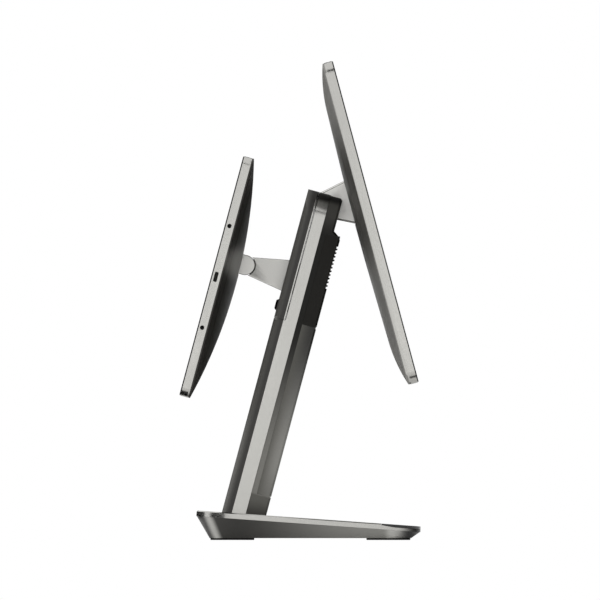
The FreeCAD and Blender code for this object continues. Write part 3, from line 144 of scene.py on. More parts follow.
def anodisedAluminium(name, light, dark, roughness, shutLine=None, paintedShading=()):
    # extruded aluminium, bead blasted and clear anodised: an even silver with a fine, soft grain
    material, tree, place = newMaterial(name)
    grain = addNode(tree, "ShaderNodeTexNoise", {"Vector": place, "Scale": perMetre(0.5),
                                                 "Detail": 3})       # 0.1 mm pits, drawn coarser
    cloud = addNode(tree, "ShaderNodeTexNoise", {"Vector": place, "Scale": perMetre(60)})
    speckle = addNode(tree, "ShaderNodeMath", {0: grain, 1: cloud}, operation="MULTIPLY")
    colour = addNode(tree, "ShaderNodeMix", {0: speckle, 6: hexColour(dark), 7: hexColour(light)},
                     data_type="RGBA")
    # painted light and shade: each tint darkens or lightens the silver from one distance to another
    for direction, start, noneAt, fullAt, tint in paintedShading:
        distance = distanceAlong(tree, place, direction, start)
        colour = paintShadingTowards(tree, colour, distance, noneAt, fullAt, tint)
    if shutLine:                                      # dark with shade, above the covers' seam
        depth = distanceAlong(tree, place, columnFront, columnFoot)
        height = distanceAlong(tree, place, columnUp, columnFoot)
        line = addNode(tree, "ShaderNodeMath", {0: depth, 1: shutLine["depth"] * mm,
                                                2: shutLine["halfWidth"] * mm},
                       operation="COMPARE")
        above = addNode(tree, "ShaderNodeMath", {0: height, 1: seams["covers"] * mm},
                        operation="GREATER_THAN")
        shown = addNode(tree, "ShaderNodeMath", {0: line, 1: above}, operation="MULTIPLY")
        colour = addNode(tree, "ShaderNodeMix", {0: shown, 6: colour,
                                                 7: hexColour(shutLine["colour"])},
                         data_type="RGBA")
    rough = addNode(tree, "ShaderNodeMapRange", {"Value": grain, "To Min": roughness - 0.04,
                                                 "To Max": roughness + 0.05})
    pits = addNode(tree, "ShaderNodeBump", {"Height": grain, "Strength": 0.5,
                                            "Distance": 0.02 * mm})
    shader = addNode(tree, "ShaderNodeBsdfPrincipled", {"Metallic": 1.0, "Base Color": colour,
                                                        "Roughness": rough, "Normal": pits})
    addNode(tree, "ShaderNodeOutputMaterial", {"Surface": shader})
    return material


def silverLacquer(name, light, dark):
    # zinc casting sprayed with metallic lacquer: flat silver, slightly grainy, little gloss
    material, tree, place = newMaterial(name)
    flake = addNode(tree, "ShaderNodeTexVoronoi",     # 0.05 mm flakes, drawn coarser
                    {"Vector": place, "Scale": perMetre(0.4)})
    shade = addNode(tree, "ShaderNodeMapRange", {"Value": flake.outputs["Color"], "To Min": 0.2,
                                                 "To Max": 0.8})
    colour = addNode(tree, "ShaderNodeMix", {0: shade, 6: hexColour(dark), 7: hexColour(light)},
                     data_type="RGBA")
    skin = addNode(tree, "ShaderNodeTexNoise", {"Vector": place, "Scale": perMetre(1.2),
                                                "Detail": 3})        # orange peel of the spray
    peel = addNode(tree, "ShaderNodeBump", {"Height": skin, "Strength": 0.4,
                                            "Distance": 0.03 * mm})
    shader = addNode(tree, "ShaderNodeBsdfPrincipled", {"Metallic": 0.5, "Roughness": 0.3,
                                                        "Base Color": colour, "Normal": peel})
    addNode(tree, "ShaderNodeOutputMaterial", {"Surface": shader})
    return material


def mouldedPlastic(name, light, dark, roughness=0.42, gloss=0.4, paintedShading=()):
    # ABS/PC moulded against a spark-eroded tool: even colour, fine pebble grain, satin sheen
    material, tree, place = newMaterial(name)
    grain = addNode(tree, "ShaderNodeTexVoronoi",     # 0.2 mm pebbles, drawn coarser
                    {"Vector": place, "Scale": perMetre(0.5)})
    flow = addNode(tree, "ShaderNodeTexNoise", {"Vector": place, "Scale": perMetre(45)})
    colour = addNode(tree, "ShaderNodeMix", {0: flow, 6: hexColour(dark), 7: hexColour(light)},
                     data_type="RGBA")                # faint flow marks from the moulding
    # painted light and shade: each tint lightens or darkens the plastic along a direction or round a
    # hinge line
    for direction, start, noneAt, fullAt, tint in paintedShading:
        if direction == "round":
            distance = distanceFrom(tree, place, start)
        else:
            distance = distanceAlong(tree, place, direction, start)
        colour = paintShadingTowards(tree, colour, distance, noneAt, fullAt, tint)
    rough = addNode(tree, "ShaderNodeMapRange", {"Value": grain, "To Min": roughness - 0.05,
                                                 "To Max": roughness + 0.07})
    pebble = addNode(tree, "ShaderNodeBump", {"Height": grain, "Strength": 0.35,
                                              "Distance": 0.04 * mm})
    shader = addNode(tree, "ShaderNodeBsdfPrincipled",
                     {"IOR": 1.5, "Specular IOR Level": gloss, "Base Color": colour,
                      "Roughness": rough, "Normal": pebble})
    addNode(tree, "ShaderNodeOutputMaterial", {"Surface": shader})
    return material


def powderCoat(name, light, dark):
    # black polyester powder baked on cast aluminium: leathery micro bumps, low sheen
    material, tree, place = newMaterial(name)
    skin = addNode(tree, "ShaderNodeTexNoise", {"Vector": place, "Scale": perMetre(0.7),
                                                "Detail": 4})
    colour = addNode(tree, "ShaderNodeMix", {0: skin, 6: hexColour(dark), 7: hexColour(light)},
                     data_type="RGBA")
    rough = addNode(tree, "ShaderNodeMapRange", {"Value": skin, "To Min": 0.5, "To Max": 0.68})
    leather = addNode(tree, "ShaderNodeBump", {"Height": skin, "Strength": 0.5,
                                               "Distance": 0.05 * mm})
    shader = addNode(tree, "ShaderNodeBsdfPrincipled",
                     {"IOR": 1.5, "Specular IOR Level": 0.2, "Base Color": colour,
                      "Roughness": rough, "Normal": leather})
    addNode(tree, "ShaderNodeOutputMaterial", {"Surface": shader})
    return material


def pianoBlackAcrylic(name):
    # polished black acrylic: deep mirror gloss with faint cloth swirls
    material, tree, place = newMaterial(name)
    swirl = addNode(tree, "ShaderNodeTexNoise", {"Vector": place, "Scale": perMetre(8),
                                                 "Detail": 5})
    colour = addNode(tree, "ShaderNodeMix", {0: swirl, 6: hexColour("060606"),
                                             7: hexColour("0b0b0b")}, data_type="RGBA")
    rough = addNode(tree, "ShaderNodeMapRange", {"Value": swirl, "To Min": 0.05, "To Max": 0.16})
    shader = addNode(tree, "ShaderNodeBsdfPrincipled",
                     {"IOR": 1.49, "Coat Weight": 0.3, "Coat Roughness": 0.03,
                      "Base Color": colour, "Roughness": rough})
    addNode(tree, "ShaderNodeOutputMaterial", {"Surface": shader})
    return material


def hardenedGlass(name, panel):
    # ion-hardened cover glass, etched against glare: a black printed border, and the dark panel
    # bonded greyer behind it
    material, tree, place = newMaterial(name)
    low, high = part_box(panel)
    centre = (low + high) / 2
    inside = 1.0
    axes = addNode(tree, "ShaderNodeSeparateXYZ", {0: place})
    for axis, middle, half in (("X", centre.x, high.x - centre.x),
                               ("Z", centre.z, high.z - centre.z)):
        within = addNode(tree, "ShaderNodeMath", {0: axes.outputs[axis], 1: middle, 2: half},
                         operation="COMPARE")
        inside = addNode(tree, "ShaderNodeMath", {0: within, 1: inside}, operation="MULTIPLY")
    smudge = addNode(tree, "ShaderNodeTexNoise", {"Vector": place, "Scale": perMetre(25),
                                                  "Detail": 4})
    colour = addNode(tree, "ShaderNodeMix", {0: inside, 6: hexColour("050506"),
                                             7: hexColour("16191c")}, data_type="RGBA")
    rough = addNode(tree, "ShaderNodeMapRange", {"Value": smudge, "To Min": 0.05,
                                                 "To Max": 0.14})
    shader = addNode(tree, "ShaderNodeBsdfPrincipled",
                     {"IOR": 1.52, "Specular IOR Level": 0.28, "Base Color": colour,
                      "Roughness": rough})
    addNode(tree, "ShaderNodeOutputMaterial", {"Surface": shader})
    return material


def footRubber(name):
    # compression-moulded rubber: dull black with a fine skin
    material, tree, place = newMaterial(name)
    skin = addNode(tree, "ShaderNodeTexNoise",        # 0.2 mm grain, drawn coarser
                   {"Vector": place, "Scale": perMetre(0.6)})
    colour = addNode(tree, "ShaderNodeMix", {0: skin, 6: hexColour("0a0a0a"),
                                             7: hexColour("1a1a19")}, data_type="RGBA")
    grain = addNode(tree, "ShaderNodeBump", {"Height": skin, "Strength": 0.5,
                                             "Distance": 0.05 * mm})
    shader = addNode(tree, "ShaderNodeBsdfPrincipled",
                     {"IOR": 1.52, "Roughness": 0.85, "Specular IOR Level": 0.25,
                      "Base Color": colour, "Normal": grain})
    addNode(tree, "ShaderNodeOutputMaterial", {"Surface": shader})
    return material


def platedSteel(name, light, dark, roughness, lineWidth=0.6):
    # pressed steel under zinc, nickel or black oxide: fine drawn lines from the rolling
    material, tree, place = newMaterial(name)
    stretched = addNode(tree, "ShaderNodeMapping", {"Vector": place, "Scale": (0.05, 1.0, 1.0)})
    lines = addNode(tree, "ShaderNodeTexNoise",       # 0.05 mm lines, drawn coarser
                    {"Vector": stretched, "Scale": perMetre(lineWidth), "Detail": 3})
    colour = addNode(tree, "ShaderNodeMix", {0: lines, 6: hexColour(dark), 7: hexColour(light)},
                     data_type="RGBA")
    rough = addNode(tree, "ShaderNodeMapRange", {"Value": lines, "To Min": roughness - 0.06,
                                                 "To Max": roughness + 0.08})
    drawn = addNode(tree, "ShaderNodeBump", {"Height": lines, "Strength": 0.5,
                                             "Distance": 0.01 * mm})
    shader = addNode(tree, "ShaderNodeBsdfPrincipled", {"Metallic": 1.0, "Base Color": colour,
                                                        "Roughness": rough, "Normal": drawn})
    addNode(tree, "ShaderNodeOutputMaterial", {"Surface": shader})
    return material


def solderMask(name):
    # glass-fibre board under green solder mask: copper tracks show as paler bands
    material, tree, place = newMaterial(name)
    tracks = addNode(tree, "ShaderNodeTexBrick",      # 0.3 mm tracks, drawn coarser
                     {"Vector": place, "Scale": perMetre(14), "Mortar Size": 0.04,
                      "Color1": hexColour("0f3d24"), "Color2": hexColour("12492b"),
                      "Mortar": hexColour("3b7a4c")})
    shader = addNode(tree, "ShaderNodeBsdfPrincipled", {"IOR": 1.5, "Roughness": 0.35,
                                                        "Base Color": tracks})
    addNode(tree, "ShaderNodeOutputMaterial", {"Surface": shader})
    return material


def primedCastIron(name):
    # sand-cast ballast dipped in grey primer: rough and dull
    material, tree, place = newMaterial(name)
    sand = addNode(tree, "ShaderNodeTexNoise",        # 0.5 mm sand grains, drawn coarser
                   {"Vector": place, "Scale": perMetre(1.5), "Detail": 5})
    colour = addNode(tree, "ShaderNodeMix", {0: sand, 6: hexColour("2c2c2b"),
                                             7: hexColour("4a4a48")}, data_type="RGBA")
    grit = addNode(tree, "ShaderNodeBump", {"Height": sand, "Strength": 0.5,
                                            "Distance": 0.2 * mm})
    shader = addNode(tree, "ShaderNodeBsdfPrincipled", {"Metallic": 0.3, "Roughness": 0.75,
                                                        "Base Color": colour, "Normal": grit})
    addNode(tree, "ShaderNodeOutputMaterial", {"Surface": shader})
    return material


# a finish for each material slot, and others for pieces that differ from their slot's, some
# as lighter or darker copies that paint light and shade on the piece; each tint is painted light
# or shade: which way or round which line, from where, mm of none, mm of all, and the tint itself
origin = Vector((0, 0, 0))
finishes = {
    "silver_anodised": anodisedAluminium("anodisedAluminium", "cccbc7", "bab9b5", 0.22),
    "silver_cast": silverLacquer("silverLacquer", "dddcd8", "d2d1cd"),
    # painted highlight: the rear covers lighter towards their rounded rear edge
    "graphite_plastic": mouldedPlastic("graphiteAbsLitRearEdge", "2e2d2b", "282725", paintedShading=[
        (columnFront, columnFoot, 5.5, 0.5, "575653")]),
    # painted reflections on the skirt: lighter towards the operator, a painted highlight round each
    # corner with painted shade beyond it, near black at the front end
    "skirt_plastic": mouldedPlastic("skirtAbsPaintedSheen", "33322f", "2c2b29", 0.3, paintedShading=[
        (towardsOperator, origin, -50, 70, "8d8c88"),
        (cornerLine, origin, 53, 57.5, "a8a7a3"), (cornerLine, origin, 58, 62, "2c2b29"),
        (towardsOperator, origin, 63, 69.5, "bcbbb7"), (towardsOperator, origin, 71, 83, "0c0c0b")]),
    "black_heatsink": powderCoat("blackPowderCoat", "1a1916", "12110f"),
    "black_gloss": pianoBlackAcrylic("pianoBlackAcrylic"),
    "button_plastic": mouldedPlastic("blackButtonAbs", "0d0d0d", "070707", 0.35),
    "black_rubber": footRubber("footRubber"),
    "screen_glass": hardenedGlass("mainScreenGlass", "main_panel"),
    "lcd_panel": mouldedPlastic("panelFilm", "1b1c1e", "131415", 0.5),
    "ballast_iron": primedCastIron("primedCastIron"),
    "zinc_steel": platedSteel("zincPlatedSteel", "b9bab8", "9c9d9b", 0.32),
    "black_screws": platedSteel("blackOxideSteel", "1d1d1d", "121212", 0.4, 0.3),
    "circuit_board": solderMask("solderMask"),
    # nickel plate, darkened to paint the shade inside the port slots
    "socket_metal": platedSteel("slotShadedNickelPlate", "3a3a38", "2a2a28", 0.4, 0.4),
    "spreader_aluminium": platedSteel("milledAluminium", "d0d0ce", "b5b5b3", 0.3, 0.8),
}
ownFinish = {
    # the column's band: its rounded top painted darker, a painted dark reflection; the trim beside
    # it shares this finish
    "column_frame": anodisedAluminium("bandAluminiumShadedTop", "cccbc7", "bab9b5", 0.22, trimLine, paintedShading=[
        (columnUp, columnFoot, 246, 250, "4a4947")]),
    # the housing's own black, painted lighter up the head and over its lower part and darker at its
    # top and towards the foot: painted light and shade
    "front_housing": mouldedPlastic("blackHousingAbsPaintedShading", "141411", "0f0e0c", 0.45, 0.2, paintedShading=[
        (columnUp, columnFoot, 222, 246, "3a3936"), (columnUp, columnFoot, 247, 251, "11100f"),
        (columnUp, columnFoot, 152, 40, "6a6965"), (columnUp, columnFoot, 21, 19, "504f4b"),
        (columnUp, columnFoot, 18, 3, "33322f")]),
    # a darker copy of the graphite plastic, painted lighter down its length and darker towards the
    # band: painted reflection and shade
    "cable_cover": mouldedPlastic("cableCoverAbsPaintedShading", "1f1e1c", "191816", 0.38, paintedShading=[
        (columnUp, columnFoot, 152, 50, "757470"), (columnUp, columnFoot, 48, 18, "5f5e5a"),
        (columnFront, columnFoot, 31, 19, "45443f")]),
    # a lighter, lit copy of the graphite plastic, painted lighter still away from the hinge: painted
    # light
    "main_back_cover": mouldedPlastic("mainShellLitAbs", "464542", "3d3c39", 0.36, paintedShading=[
        ("round", mainPivot, 30, 75, "797875")]),
    # a darker, shaded copy of the graphite plastic, painted lighter round the knuckle: painted shade
    # and a painted highlight
    "rear_back_cover": mouldedPlastic("rearShellShadedAbs", "272623", "21201d", 0.4, 0.25, paintedShading=[
        ("round", rearPivot, 18, 7, "84837f")]),
    "rear_cover_glass": hardenedGlass("rearScreenGlass", "rear_panel"),
    # the deck painted near black towards its front end: a painted dark reflection
    "base_top_plate": anodisedAluminium("deckAluminiumShadedFront", "cccbc7", "bab9b5", 0.2, paintedShading=[
        (towardsOperator, origin, 74, 88, "1e1d1b")]),
    # a lighter, lit copy of the arm lacquer that paints out the shade beside the column
    "main_arm": silverLacquer("headArmLitLacquer", "f3f2ee", "eae9e5"),
}
ownFinish["rear_cover_trim"] = ownFinish["column_frame"]
edgeShadeLacquer = silverLacquer("edgeShadeLacquer", "6e6d69", "5e5d5a")       # painted shade: darker lacquer on the rounded edges, standing in for dark reflections there
slotOf = {part["node"]: part["material_slot"] for part in frame["record"]["subparts"]}
print("materials ready:", len(finishes) + len(ownFinish))


def paint(item, material):
    item.data.materials.clear()
    item.data.materials.append(material)


def placed(name, data):
    item = bpy.data.objects.new(name, data)
    bpy.context.scene.collection.objects.link(item)
    return item


def meshFrom(shape, name, smooth=None):
    # smooth is the angle in degrees above which an edge stays sharp
    mesh = bpy.data.meshes.new(name)
    shape.to_mesh(mesh)
    shape.free()
    if smooth:
        mesh.shade_smooth()
        mesh.set_sharp_from_angle(angle=math.radians(smooth))
    return mesh


def newPiece(name, mesh, body, material, replaced=()):
    item = placed(name, mesh)
    paint(item, material)
    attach(item, body)
    if replaced:
        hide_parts(*replaced)
    return item


knuckleBore = {"radius": 3.1, "rimReach": 1.2}       # mm, and the rim's reach in radii
samePlace = 0.01                                     # mm within which two points are one
sameDepth = 0.05                                     # mm within which two depths are one


def closeBore(shape, x):
    # the shaft's bore is closed flush with the knuckle's flank at x
    def onFlank(edge):
        return all(abs(vert.co.x - x) < samePlace * mm for vert in edge.verts)

    def nearShaft(edge):
        reach = knuckleBore["radius"] * knuckleBore["rimReach"] * mm
        return all(math.hypot(vert.co.y - rearPivot.y, vert.co.z - rearPivot.z) < reach
                   for vert in edge.verts)

    rim = [edge for edge in shape.edges
           if onFlank(edge) and nearShaft(edge) and len(edge.link_faces) == 2
           and any(abs(face.normal.x) < 0.1 for face in edge.link_faces)
           and edge.calc_length() < knuckleBore["radius"] * mm]
    if rim:
        bmesh.ops.split_edges(shape, edges=rim)
        ends = [edge for edge in shape.edges if edge.is_boundary and onFlank(edge)
                and any(abs(face.normal.x) > 0.9 for face in edge.link_faces)]
        bmesh.ops.holes_fill(shape, edges=ends, sides=0)


# where each display's band ends, in millimetres behind the glass: in the solid and as seen
bands = {"main": {"back": mainBack, "seam": 6.3, "edge": 8.0},
         "rear": {"back": rearBack, "seam": 6.3, "edge": 8.15},
         "rimInset": 0.35, "cornerSize": 9.5, "outerSkin": 1.2, "overlap": 0.02}


def fitBand(shape, node):
    # the frame's band reaches back over the rim of the cover, which steps in under it
    kind = node.split("_")[0]
    back, seam, edge = (bands[kind][key] for key in ("back", "seam", "edge"))
    glass = nodes[kind + "_cover_glass"].data.vertices
    face = min(Vector(vert.co).dot(back) for vert in glass)
    low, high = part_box(kind + "_cover_glass")
    centre = (low + high) / 2
    up = Vector((1, 0, 0)).cross(back)
    halfWide = (high.x - low.x) / 2
    halfTall = max(abs((vert.co - centre).dot(up)) for vert in glass)
    cornerSize = bands["cornerSize"] * mm
    for vert in shape.verts:
        depth = (vert.co.dot(back) - face) / mm
        across = vert.co.x - centre.x
        along = (vert.co - centre).dot(up)
        dx = max(abs(across) - (halfWide - cornerSize), 0)
        dz = max(abs(along) - (halfTall - cornerSize), 0)
        if math.hypot(dx, dz) <= cornerSize - bands["outerSkin"] * mm:
            continue
        if node.endswith("frame") and abs(depth - seam) < sameDepth:
            vert.co += back * (edge - seam - bands["overlap"]) * mm
        if node.endswith("back_cover") and depth < edge + sameDepth:
            inward = (Vector((1, 0, 0)) * dx * (-1 if across > 0 else 1)
                      + up * dz * (-1 if along > 0 else 1))
            if inward.length > 0:
                vert.co += inward.normalized() * bands["rimInset"] * mm


def fillGrooves(shape):
    # the grooves between the fins come forward, so that none is open at its ends
    for vert in shape.verts:
        depth = (vert.co - columnFoot).dot(columnFront) / mm
        if abs(depth - fins["groove"]) < sameDepth:
            vert.co += columnFront * fins["fill"] * mm


fins = {"groove": 31.4, "fill": 0.8}                 # how deep the grooves lie, and mm filled
edges = {"weld": 0.002, "flat": 0.5, "smooth": 35, "bevelSteps": 2}     # mm, degrees, degrees


def soften(node, name, bevel):
    # a copy of the solid with welded corners, rounded edges and smooth curved faces
    source = nodes[node]
    shape = bmesh.new()
    shape.from_mesh(source.data)
    bmesh.ops.remove_doubles(shape, verts=shape.verts, dist=edges["weld"] * mm)
    bmesh.ops.dissolve_limit(shape, angle_limit=math.radians(edges["flat"]), verts=shape.verts,
                             edges=shape.edges)
    if node in ("main_frame", "main_back_cover", "rear_frame", "rear_back_cover"):
        fitBand(shape, node)
    if node == "heatsink_cover":
        fillGrooves(shape)
    if node == "rear_knuckle":
        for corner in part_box(node):
            closeBore(shape, corner.x)
    mesh = meshFrom(shape, name, edges["smooth"])
    slotName = slotOf[node]
    finish = ownFinish.get(node, finishes[slotName])
    item = newPiece(name, mesh, source["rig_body"], finish, [node])
    rounding = item.modifiers.new("edgeRounding", "BEVEL")
    rounding.width = bevel * mm
    rounding.segments = edges["bevelSteps"]
    rounding.limit_method = "ANGLE"
    rounding.angle_limit = math.radians(edges["smooth"])
    rounding.harden_normals = True
    rounding.use_clamp_overlap = True
    if slotName == "silver_cast":                     # its bevels take the second material, the painted edge shade
        item.data.materials.append(edgeShadeLacquer)
        rounding.material = 1


for node, item in nodes.items():
    paint(item, ownFinish.get(node, finishes[slotOf[node]]))

# rounding of each visible piece's edges, in millimetres
rounded = {
    "base_top_plate": 0.25, "base_shell": 0.6, "base_front_insert": 0.3, "rubber_feet": 0.5,
    "column_frame": 0.3, "front_housing": 0.15, "heatsink_cover": 0.4, "cable_cover": 0.15,
    "upper_rear_cover": 0.15, "lower_rear_cover": 0.15, "rear_cover_trim": 0.12,
    "release_button": 0.7, "main_arm": 0.35, "rear_arm": 0.6, "rear_knuckle": 0.45,
    "main_frame": 0.25, "rear_frame": 0.25, "main_back_cover": 0.4, "rear_back_cover": 0.4,
    "main_cover_glass": 0.3, "rear_cover_glass": 0.3,
}
for node, bevel in rounded.items():
    soften(node, node.replace("_", "-"), bevel)
print("rounded pieces:", len(rounded))

# lips behind the column's shut lines, so that no light passes between two covers (sizes in mm)
lips = {"inset": 0.6, "wall": 1.2, "tall": 3.0, "behind": (0.5, 8.5), "before": (21.4, 32.7)}


def seamLip(name, height, depths, material):
    # a rectangular collar inside the covers, across their shut line
    low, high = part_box("upper_rear_cover")
    half = high.x - lips["inset"] * mm
    wall = lips["wall"] * mm
    rear, front = (-depth * mm for depth in depths)
    bottom, top = (height - lips["tall"] / 2) * mm, (height + lips["tall"] / 2) * mm
    shape = bmesh.new()
    rings = []
    for z in (bottom, top):
        for inset in (0, wall):
            corners = [(-half + inset, rear - inset), (half - inset, rear - inset),
                       (half - inset, front + inset), (-half + inset, front + inset)]
            rings.append([shape.verts.new((x, y, z)) for x, y in corners])
    outerLow, innerLow, outerHigh, innerHigh = rings
    for i in range(4):
        j = (i + 1) % 4
        shape.faces.new((outerLow[i], outerLow[j], outerHigh[j], outerHigh[i]))
        shape.faces.new((innerLow[j], innerLow[i], innerHigh[i], innerHigh[j]))
        shape.faces.new((outerLow[j], outerLow[i], innerLow[i], innerLow[j]))
        shape.faces.new((outerHigh[i], outerHigh[j], innerHigh[j], innerHigh[i]))
    bmesh.ops.recalc_face_normals(shape, faces=shape.faces)
    shape.transform(columnPlace)
    newPiece(name, meshFrom(shape, name), "stand", material)


halfGap = seams["gap"] / 2
housing = ownFinish["front_housing"]
seamLip("rearCoverLip", seams["covers"] - halfGap, lips["behind"], finishes["graphite_plastic"])
seamLip("frontCoverLip", seams["covers"], lips["before"], ownFinish["cable_cover"])
seamLip("chinLip", seams["chin"] - halfGap, lips["before"], housing)
seamLip("footLip", seams["foot"], lips["before"], housing)
print("cover lips ready")

# pan heads with a cross recess, in place of the plain six-sided screws: sizes in millimetres,
# recess and tip in shares of the head and shank, and the crown in shares of radius and height
screws = {"headRadius": 2.6, "headHeight": 1.7, "shankRadius": 1.4, "steps": 28,
          "recessReach": 0.62, "recessSlim": 0.17, "recessDeep": 0.55, "recessProud": 0.02,
          "recessTaper": 0.8, "tipLong": 0.4, "tipSlim": 0.6, "smooth": 40,
          "crown": [(0.72, 0.0), (0.9, -0.1), (0.99, -0.32), (1.0, -0.6), (1.0, -1.0)]}


def islandsOf(node):
    # the separate screws of a group, as lists of points
    mesh = nodes[node].data
    parent = list(range(len(mesh.vertices)))

    def root(i):
        while parent[i] != i:
            parent[i] = parent[parent[i]]
            i = parent[i]
        return i

    spots = {}
    for i, vert in enumerate(mesh.vertices):          # welded by place
        key = tuple(round(c / (samePlace * mm)) for c in vert.co)
        parent[root(i)] = root(spots.setdefault(key, i))
    for edge in mesh.edges:
        parent[root(edge.vertices[0])] = root(edge.vertices[1])
    groups = {}
    for i, vert in enumerate(mesh.vertices):
        groups.setdefault(root(i), []).append(vert.co.copy())
    return list(groups.values())


def addScrew(shape, points, outward):
    headRadius, headHeight = screws["headRadius"] * mm, screws["headHeight"] * mm
    shankRadius, steps = screws["shankRadius"] * mm, screws["steps"]
    across = [point.dot(outward) for point in points]
    middle = sum(points, Vector()) / len(points)
    top = max(across)
    centre = middle + outward * (top - middle.dot(outward))
    length = top - min(across)
    place = Matrix.Translation(centre) @ outward.to_track_quat("Z", "Y").to_matrix().to_4x4()

    def corner(radius, turn, z):
        return shape.verts.new(place @ Vector((radius * math.cos(turn), radius * math.sin(turn), z)))

    # the head's crown, then down its side to the seat and along the shank, to its tip
    rings = [(headRadius * r, headHeight * z) for r, z in screws["crown"]]
    rings += [(shankRadius, -headHeight), (shankRadius, -length + shankRadius * screws["tipLong"]),
              (shankRadius * screws["tipSlim"], -length)]
    turns = [math.tau * i / steps for i in range(steps)]
    loops = [[corner(radius, turn, z) for turn in turns] for radius, z in rings]
    for upper, lower in zip(loops, loops[1:]):
        for i in range(steps):
            j = (i + 1) % steps
            shape.faces.new((upper[i], upper[j], lower[j], lower[i]))
    shape.faces.new(list(reversed(loops[-1])))
    # cross recess: a star whose arms reach most of the way over the head
    arm, slim = headRadius * screws["recessReach"], headRadius * screws["recessSlim"]
    brim, bottom = headHeight * screws["recessProud"], -headHeight * screws["recessDeep"]
    star, floor = [], []
    for turn in turns:
        nearest = round(turn / (math.pi / 2)) * math.pi / 2
        off = abs(turn - nearest)
        reach = min(arm, slim / max(math.sin(off), 1e-6)) if off > 1e-6 else arm
        star.append(corner(reach, turn, brim))
        floor.append(corner(reach * screws["recessTaper"], turn, bottom))
    for i in range(steps):
        j = (i + 1) % steps
        shape.faces.new((star[i], star[j], loops[0][j], loops[0][i]))
        shape.faces.new((floor[i], floor[j], star[j], star[i]))
    shape.faces.new(floor)


def roundScrews(node, name, outward):
    shape = bmesh.new()
    for points in islandsOf(node):
        addScrew(shape, points, outward)
    bmesh.ops.recalc_face_normals(shape, faces=shape.faces)
    mesh = meshFrom(shape, name, screws["smooth"])
    slotName = slotOf[node]
    newPiece(name, mesh, nodes[node]["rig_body"], finishes[slotName], [node])


roundScrews("main_cover_screws", "mainShellScrews", mainBack)
roundScrews("rear_cover_screws", "rearShellScrews", rearBack)
roundScrews("base_screws", "underScrews", Vector((0, 0, -1)))
print("round screws ready")

aimPoint = (0, 0, 0.2)                               # what the lamps and most cards face
studio = {"floorSize": 6.0, "floorColour": "f2f2f0", "ambient": 0.62}
softboxes = {                                        # where, size, power in watts
    "overheadSoftbox": ((-0.3, 0.1, 1.7), (1.2, 1.2), 5.0),
    "cameraSideSoftbox": ((-2.95, 0.0, 0.8), (0.9, 0.9), 28.0),
    "rearFill": ((-1.15, 1.3, 0.5), (0.6, 1.2), 8.0),
}
sideView = {"scale": 0.456, "away": 2.0, "height": 0.1824, "clip": 20}      # metres
cards = {                                            # where, facing what, width, height
    "rearCard": ((-0.86, 1.23, 0.2), aimPoint, 1.25, 0.5),
    "farRearCard": ((1.08, 1.04, 0.2), aimPoint, 2.1, 0.5),
    "frontCard": ((0.39, -1.45, 0.2), aimPoint, 2.4, 0.5),
    "upperRearCard": ((-1.22, 0.33, 1.06), aimPoint, 0.6, 0.5),
    "upperFrontCard": ((-1.34, -0.33, 0.86), aimPoint, 0.6, 0.2),
    "farUpperCard": ((1.23, 0, 1.06), aimPoint, 1.2, 0.5),
    "mainUnderCard": ((-0.25, -0.112, 0.012), (-0.25, -0.112, 1), 0.07, 0.06),
    "rearUnderCard": ((-0.165, 0.113, 0.012), (-0.165, 0.113, 1), 0.18, 0.06),
}


def studioFloor():
    mesh = bpy.data.meshes.new("studioFloor")
    half = studio["floorSize"] / 2
    mesh.from_pydata([(-half, -half, 0), (half, -half, 0), (half, half, 0), (-half, half, 0)],
                     [], [(0, 1, 2, 3)])
    floor = placed("studioFloor", mesh)
    material, tree, place = newMaterial("matteFloor")
    shade = addNode(tree, "ShaderNodeTexNoise", {"Vector": place, "Scale": perMetre(40)})
    colour = addNode(tree, "ShaderNodeMix", {0: shade, 6: hexColour(studio["floorColour"]),
                                             7: hexColour("fafafa")}, data_type="RGBA")
    shader = addNode(tree, "ShaderNodeBsdfPrincipled", {"Roughness": 0.9, "Base Color": colour})
    addNode(tree, "ShaderNodeOutputMaterial", {"Surface": shader})
    floor.data.materials.append(material)


def studioWorld():
    # white where it is seen or mirrored, and plainer where it lights the object
    world = bpy.data.worlds.new("studioWorld")
    bpy.context.scene.world = world
    world.use_nodes = True
    tree = world.node_tree
    tree.nodes.clear()
    path = addNode(tree, "ShaderNodeLightPath")
    seen = path.outputs["Is Camera Ray"]
    for ray in ("Is Glossy Ray", "Is Transmission Ray"):
        seen = addNode(tree, "ShaderNodeMath", {0: seen, 1: path.outputs[ray]},
                       operation="MAXIMUM")
    white = (1, 1, 1, 1)
    backdrop = addNode(tree, "ShaderNodeBackground", {"Color": white, "Strength": 1.0})
    light = addNode(tree, "ShaderNodeBackground", {"Color": white,
                                                   "Strength": studio["ambient"]})
    mixed = addNode(tree, "ShaderNodeMixShader", {0: seen, 1: light, 2: backdrop})
    addNode(tree, "ShaderNodeOutputWorld", {"Surface": mixed})


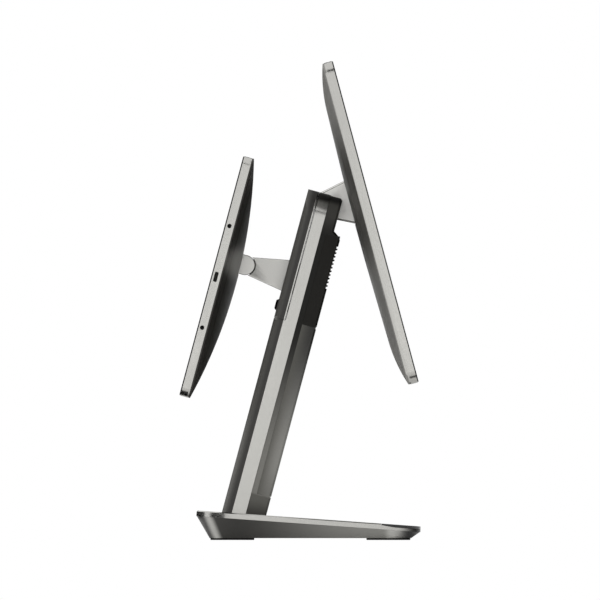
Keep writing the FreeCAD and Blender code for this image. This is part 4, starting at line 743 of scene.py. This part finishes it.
def softbox(name, spot, size, power):
    lamp = bpy.data.lights.new(name, "AREA")
    lamp.shape = "RECTANGLE"
    lamp.size, lamp.size_y = size
    lamp.energy = power
    item = placed(name, lamp)
    item.location = spot
    item.rotation_euler = (Vector(aimPoint) - Vector(spot)).to_track_quat("-Z", "Y").to_euler()
    item.visible_glossy = False
    item.visible_camera = False


def blackCard(name, spot, aim, width, tall):
    # a card that only gloss shows: it draws the edges of bright metal
    mesh = bpy.data.meshes.new(name)
    x, y = width / 2, tall / 2
    mesh.from_pydata([(-x, -y, 0), (x, -y, 0), (x, y, 0), (-x, y, 0)], [], [(0, 1, 2, 3)])
    item = placed(name, mesh)
    item.location = spot
    item.rotation_euler = (Vector(aim) - Vector(spot)).to_track_quat("Z", "Y").to_euler()
    material, tree, place = newMaterial(name + "Cloth")
    weave = addNode(tree, "ShaderNodeTexNoise", {"Vector": place, "Scale": perMetre(4)})
    colour = addNode(tree, "ShaderNodeMix", {0: weave, 6: hexColour("0c0c0c"),
                                             7: hexColour("141414")}, data_type="RGBA")
    shader = addNode(tree, "ShaderNodeBsdfPrincipled",
                     {"Roughness": 1.0, "Specular IOR Level": 0.0, "Base Color": colour})
    addNode(tree, "ShaderNodeOutputMaterial", {"Surface": shader})
    item.data.materials.append(material)
    for ray in ("camera", "diffuse", "transmission", "volume_scatter", "shadow"):
        setattr(item, "visible_" + ray, False)


def sideCamera():
    lens = bpy.data.cameras.new("sideCamera")
    lens.type = "ORTHO"
    lens.ortho_scale = sideView["scale"]
    lens.clip_end = sideView["clip"]
    item = placed("sideCamera", lens)
    item.location = (-sideView["away"], 0.0, sideView["height"])
    item.rotation_euler = (math.radians(90), 0, math.radians(-90))
    bpy.context.scene.camera = item


studioFloor()
studioWorld()
for name, (spot, size, power) in softboxes.items():
    softbox(name, spot, size, power)
for name, (spot, aim, width, tall) in cards.items():
    blackCard(name, spot, aim, width, tall)
sideCamera()
bpy.context.scene.view_settings.view_transform = "Standard"
print("stage, light and camera ready")
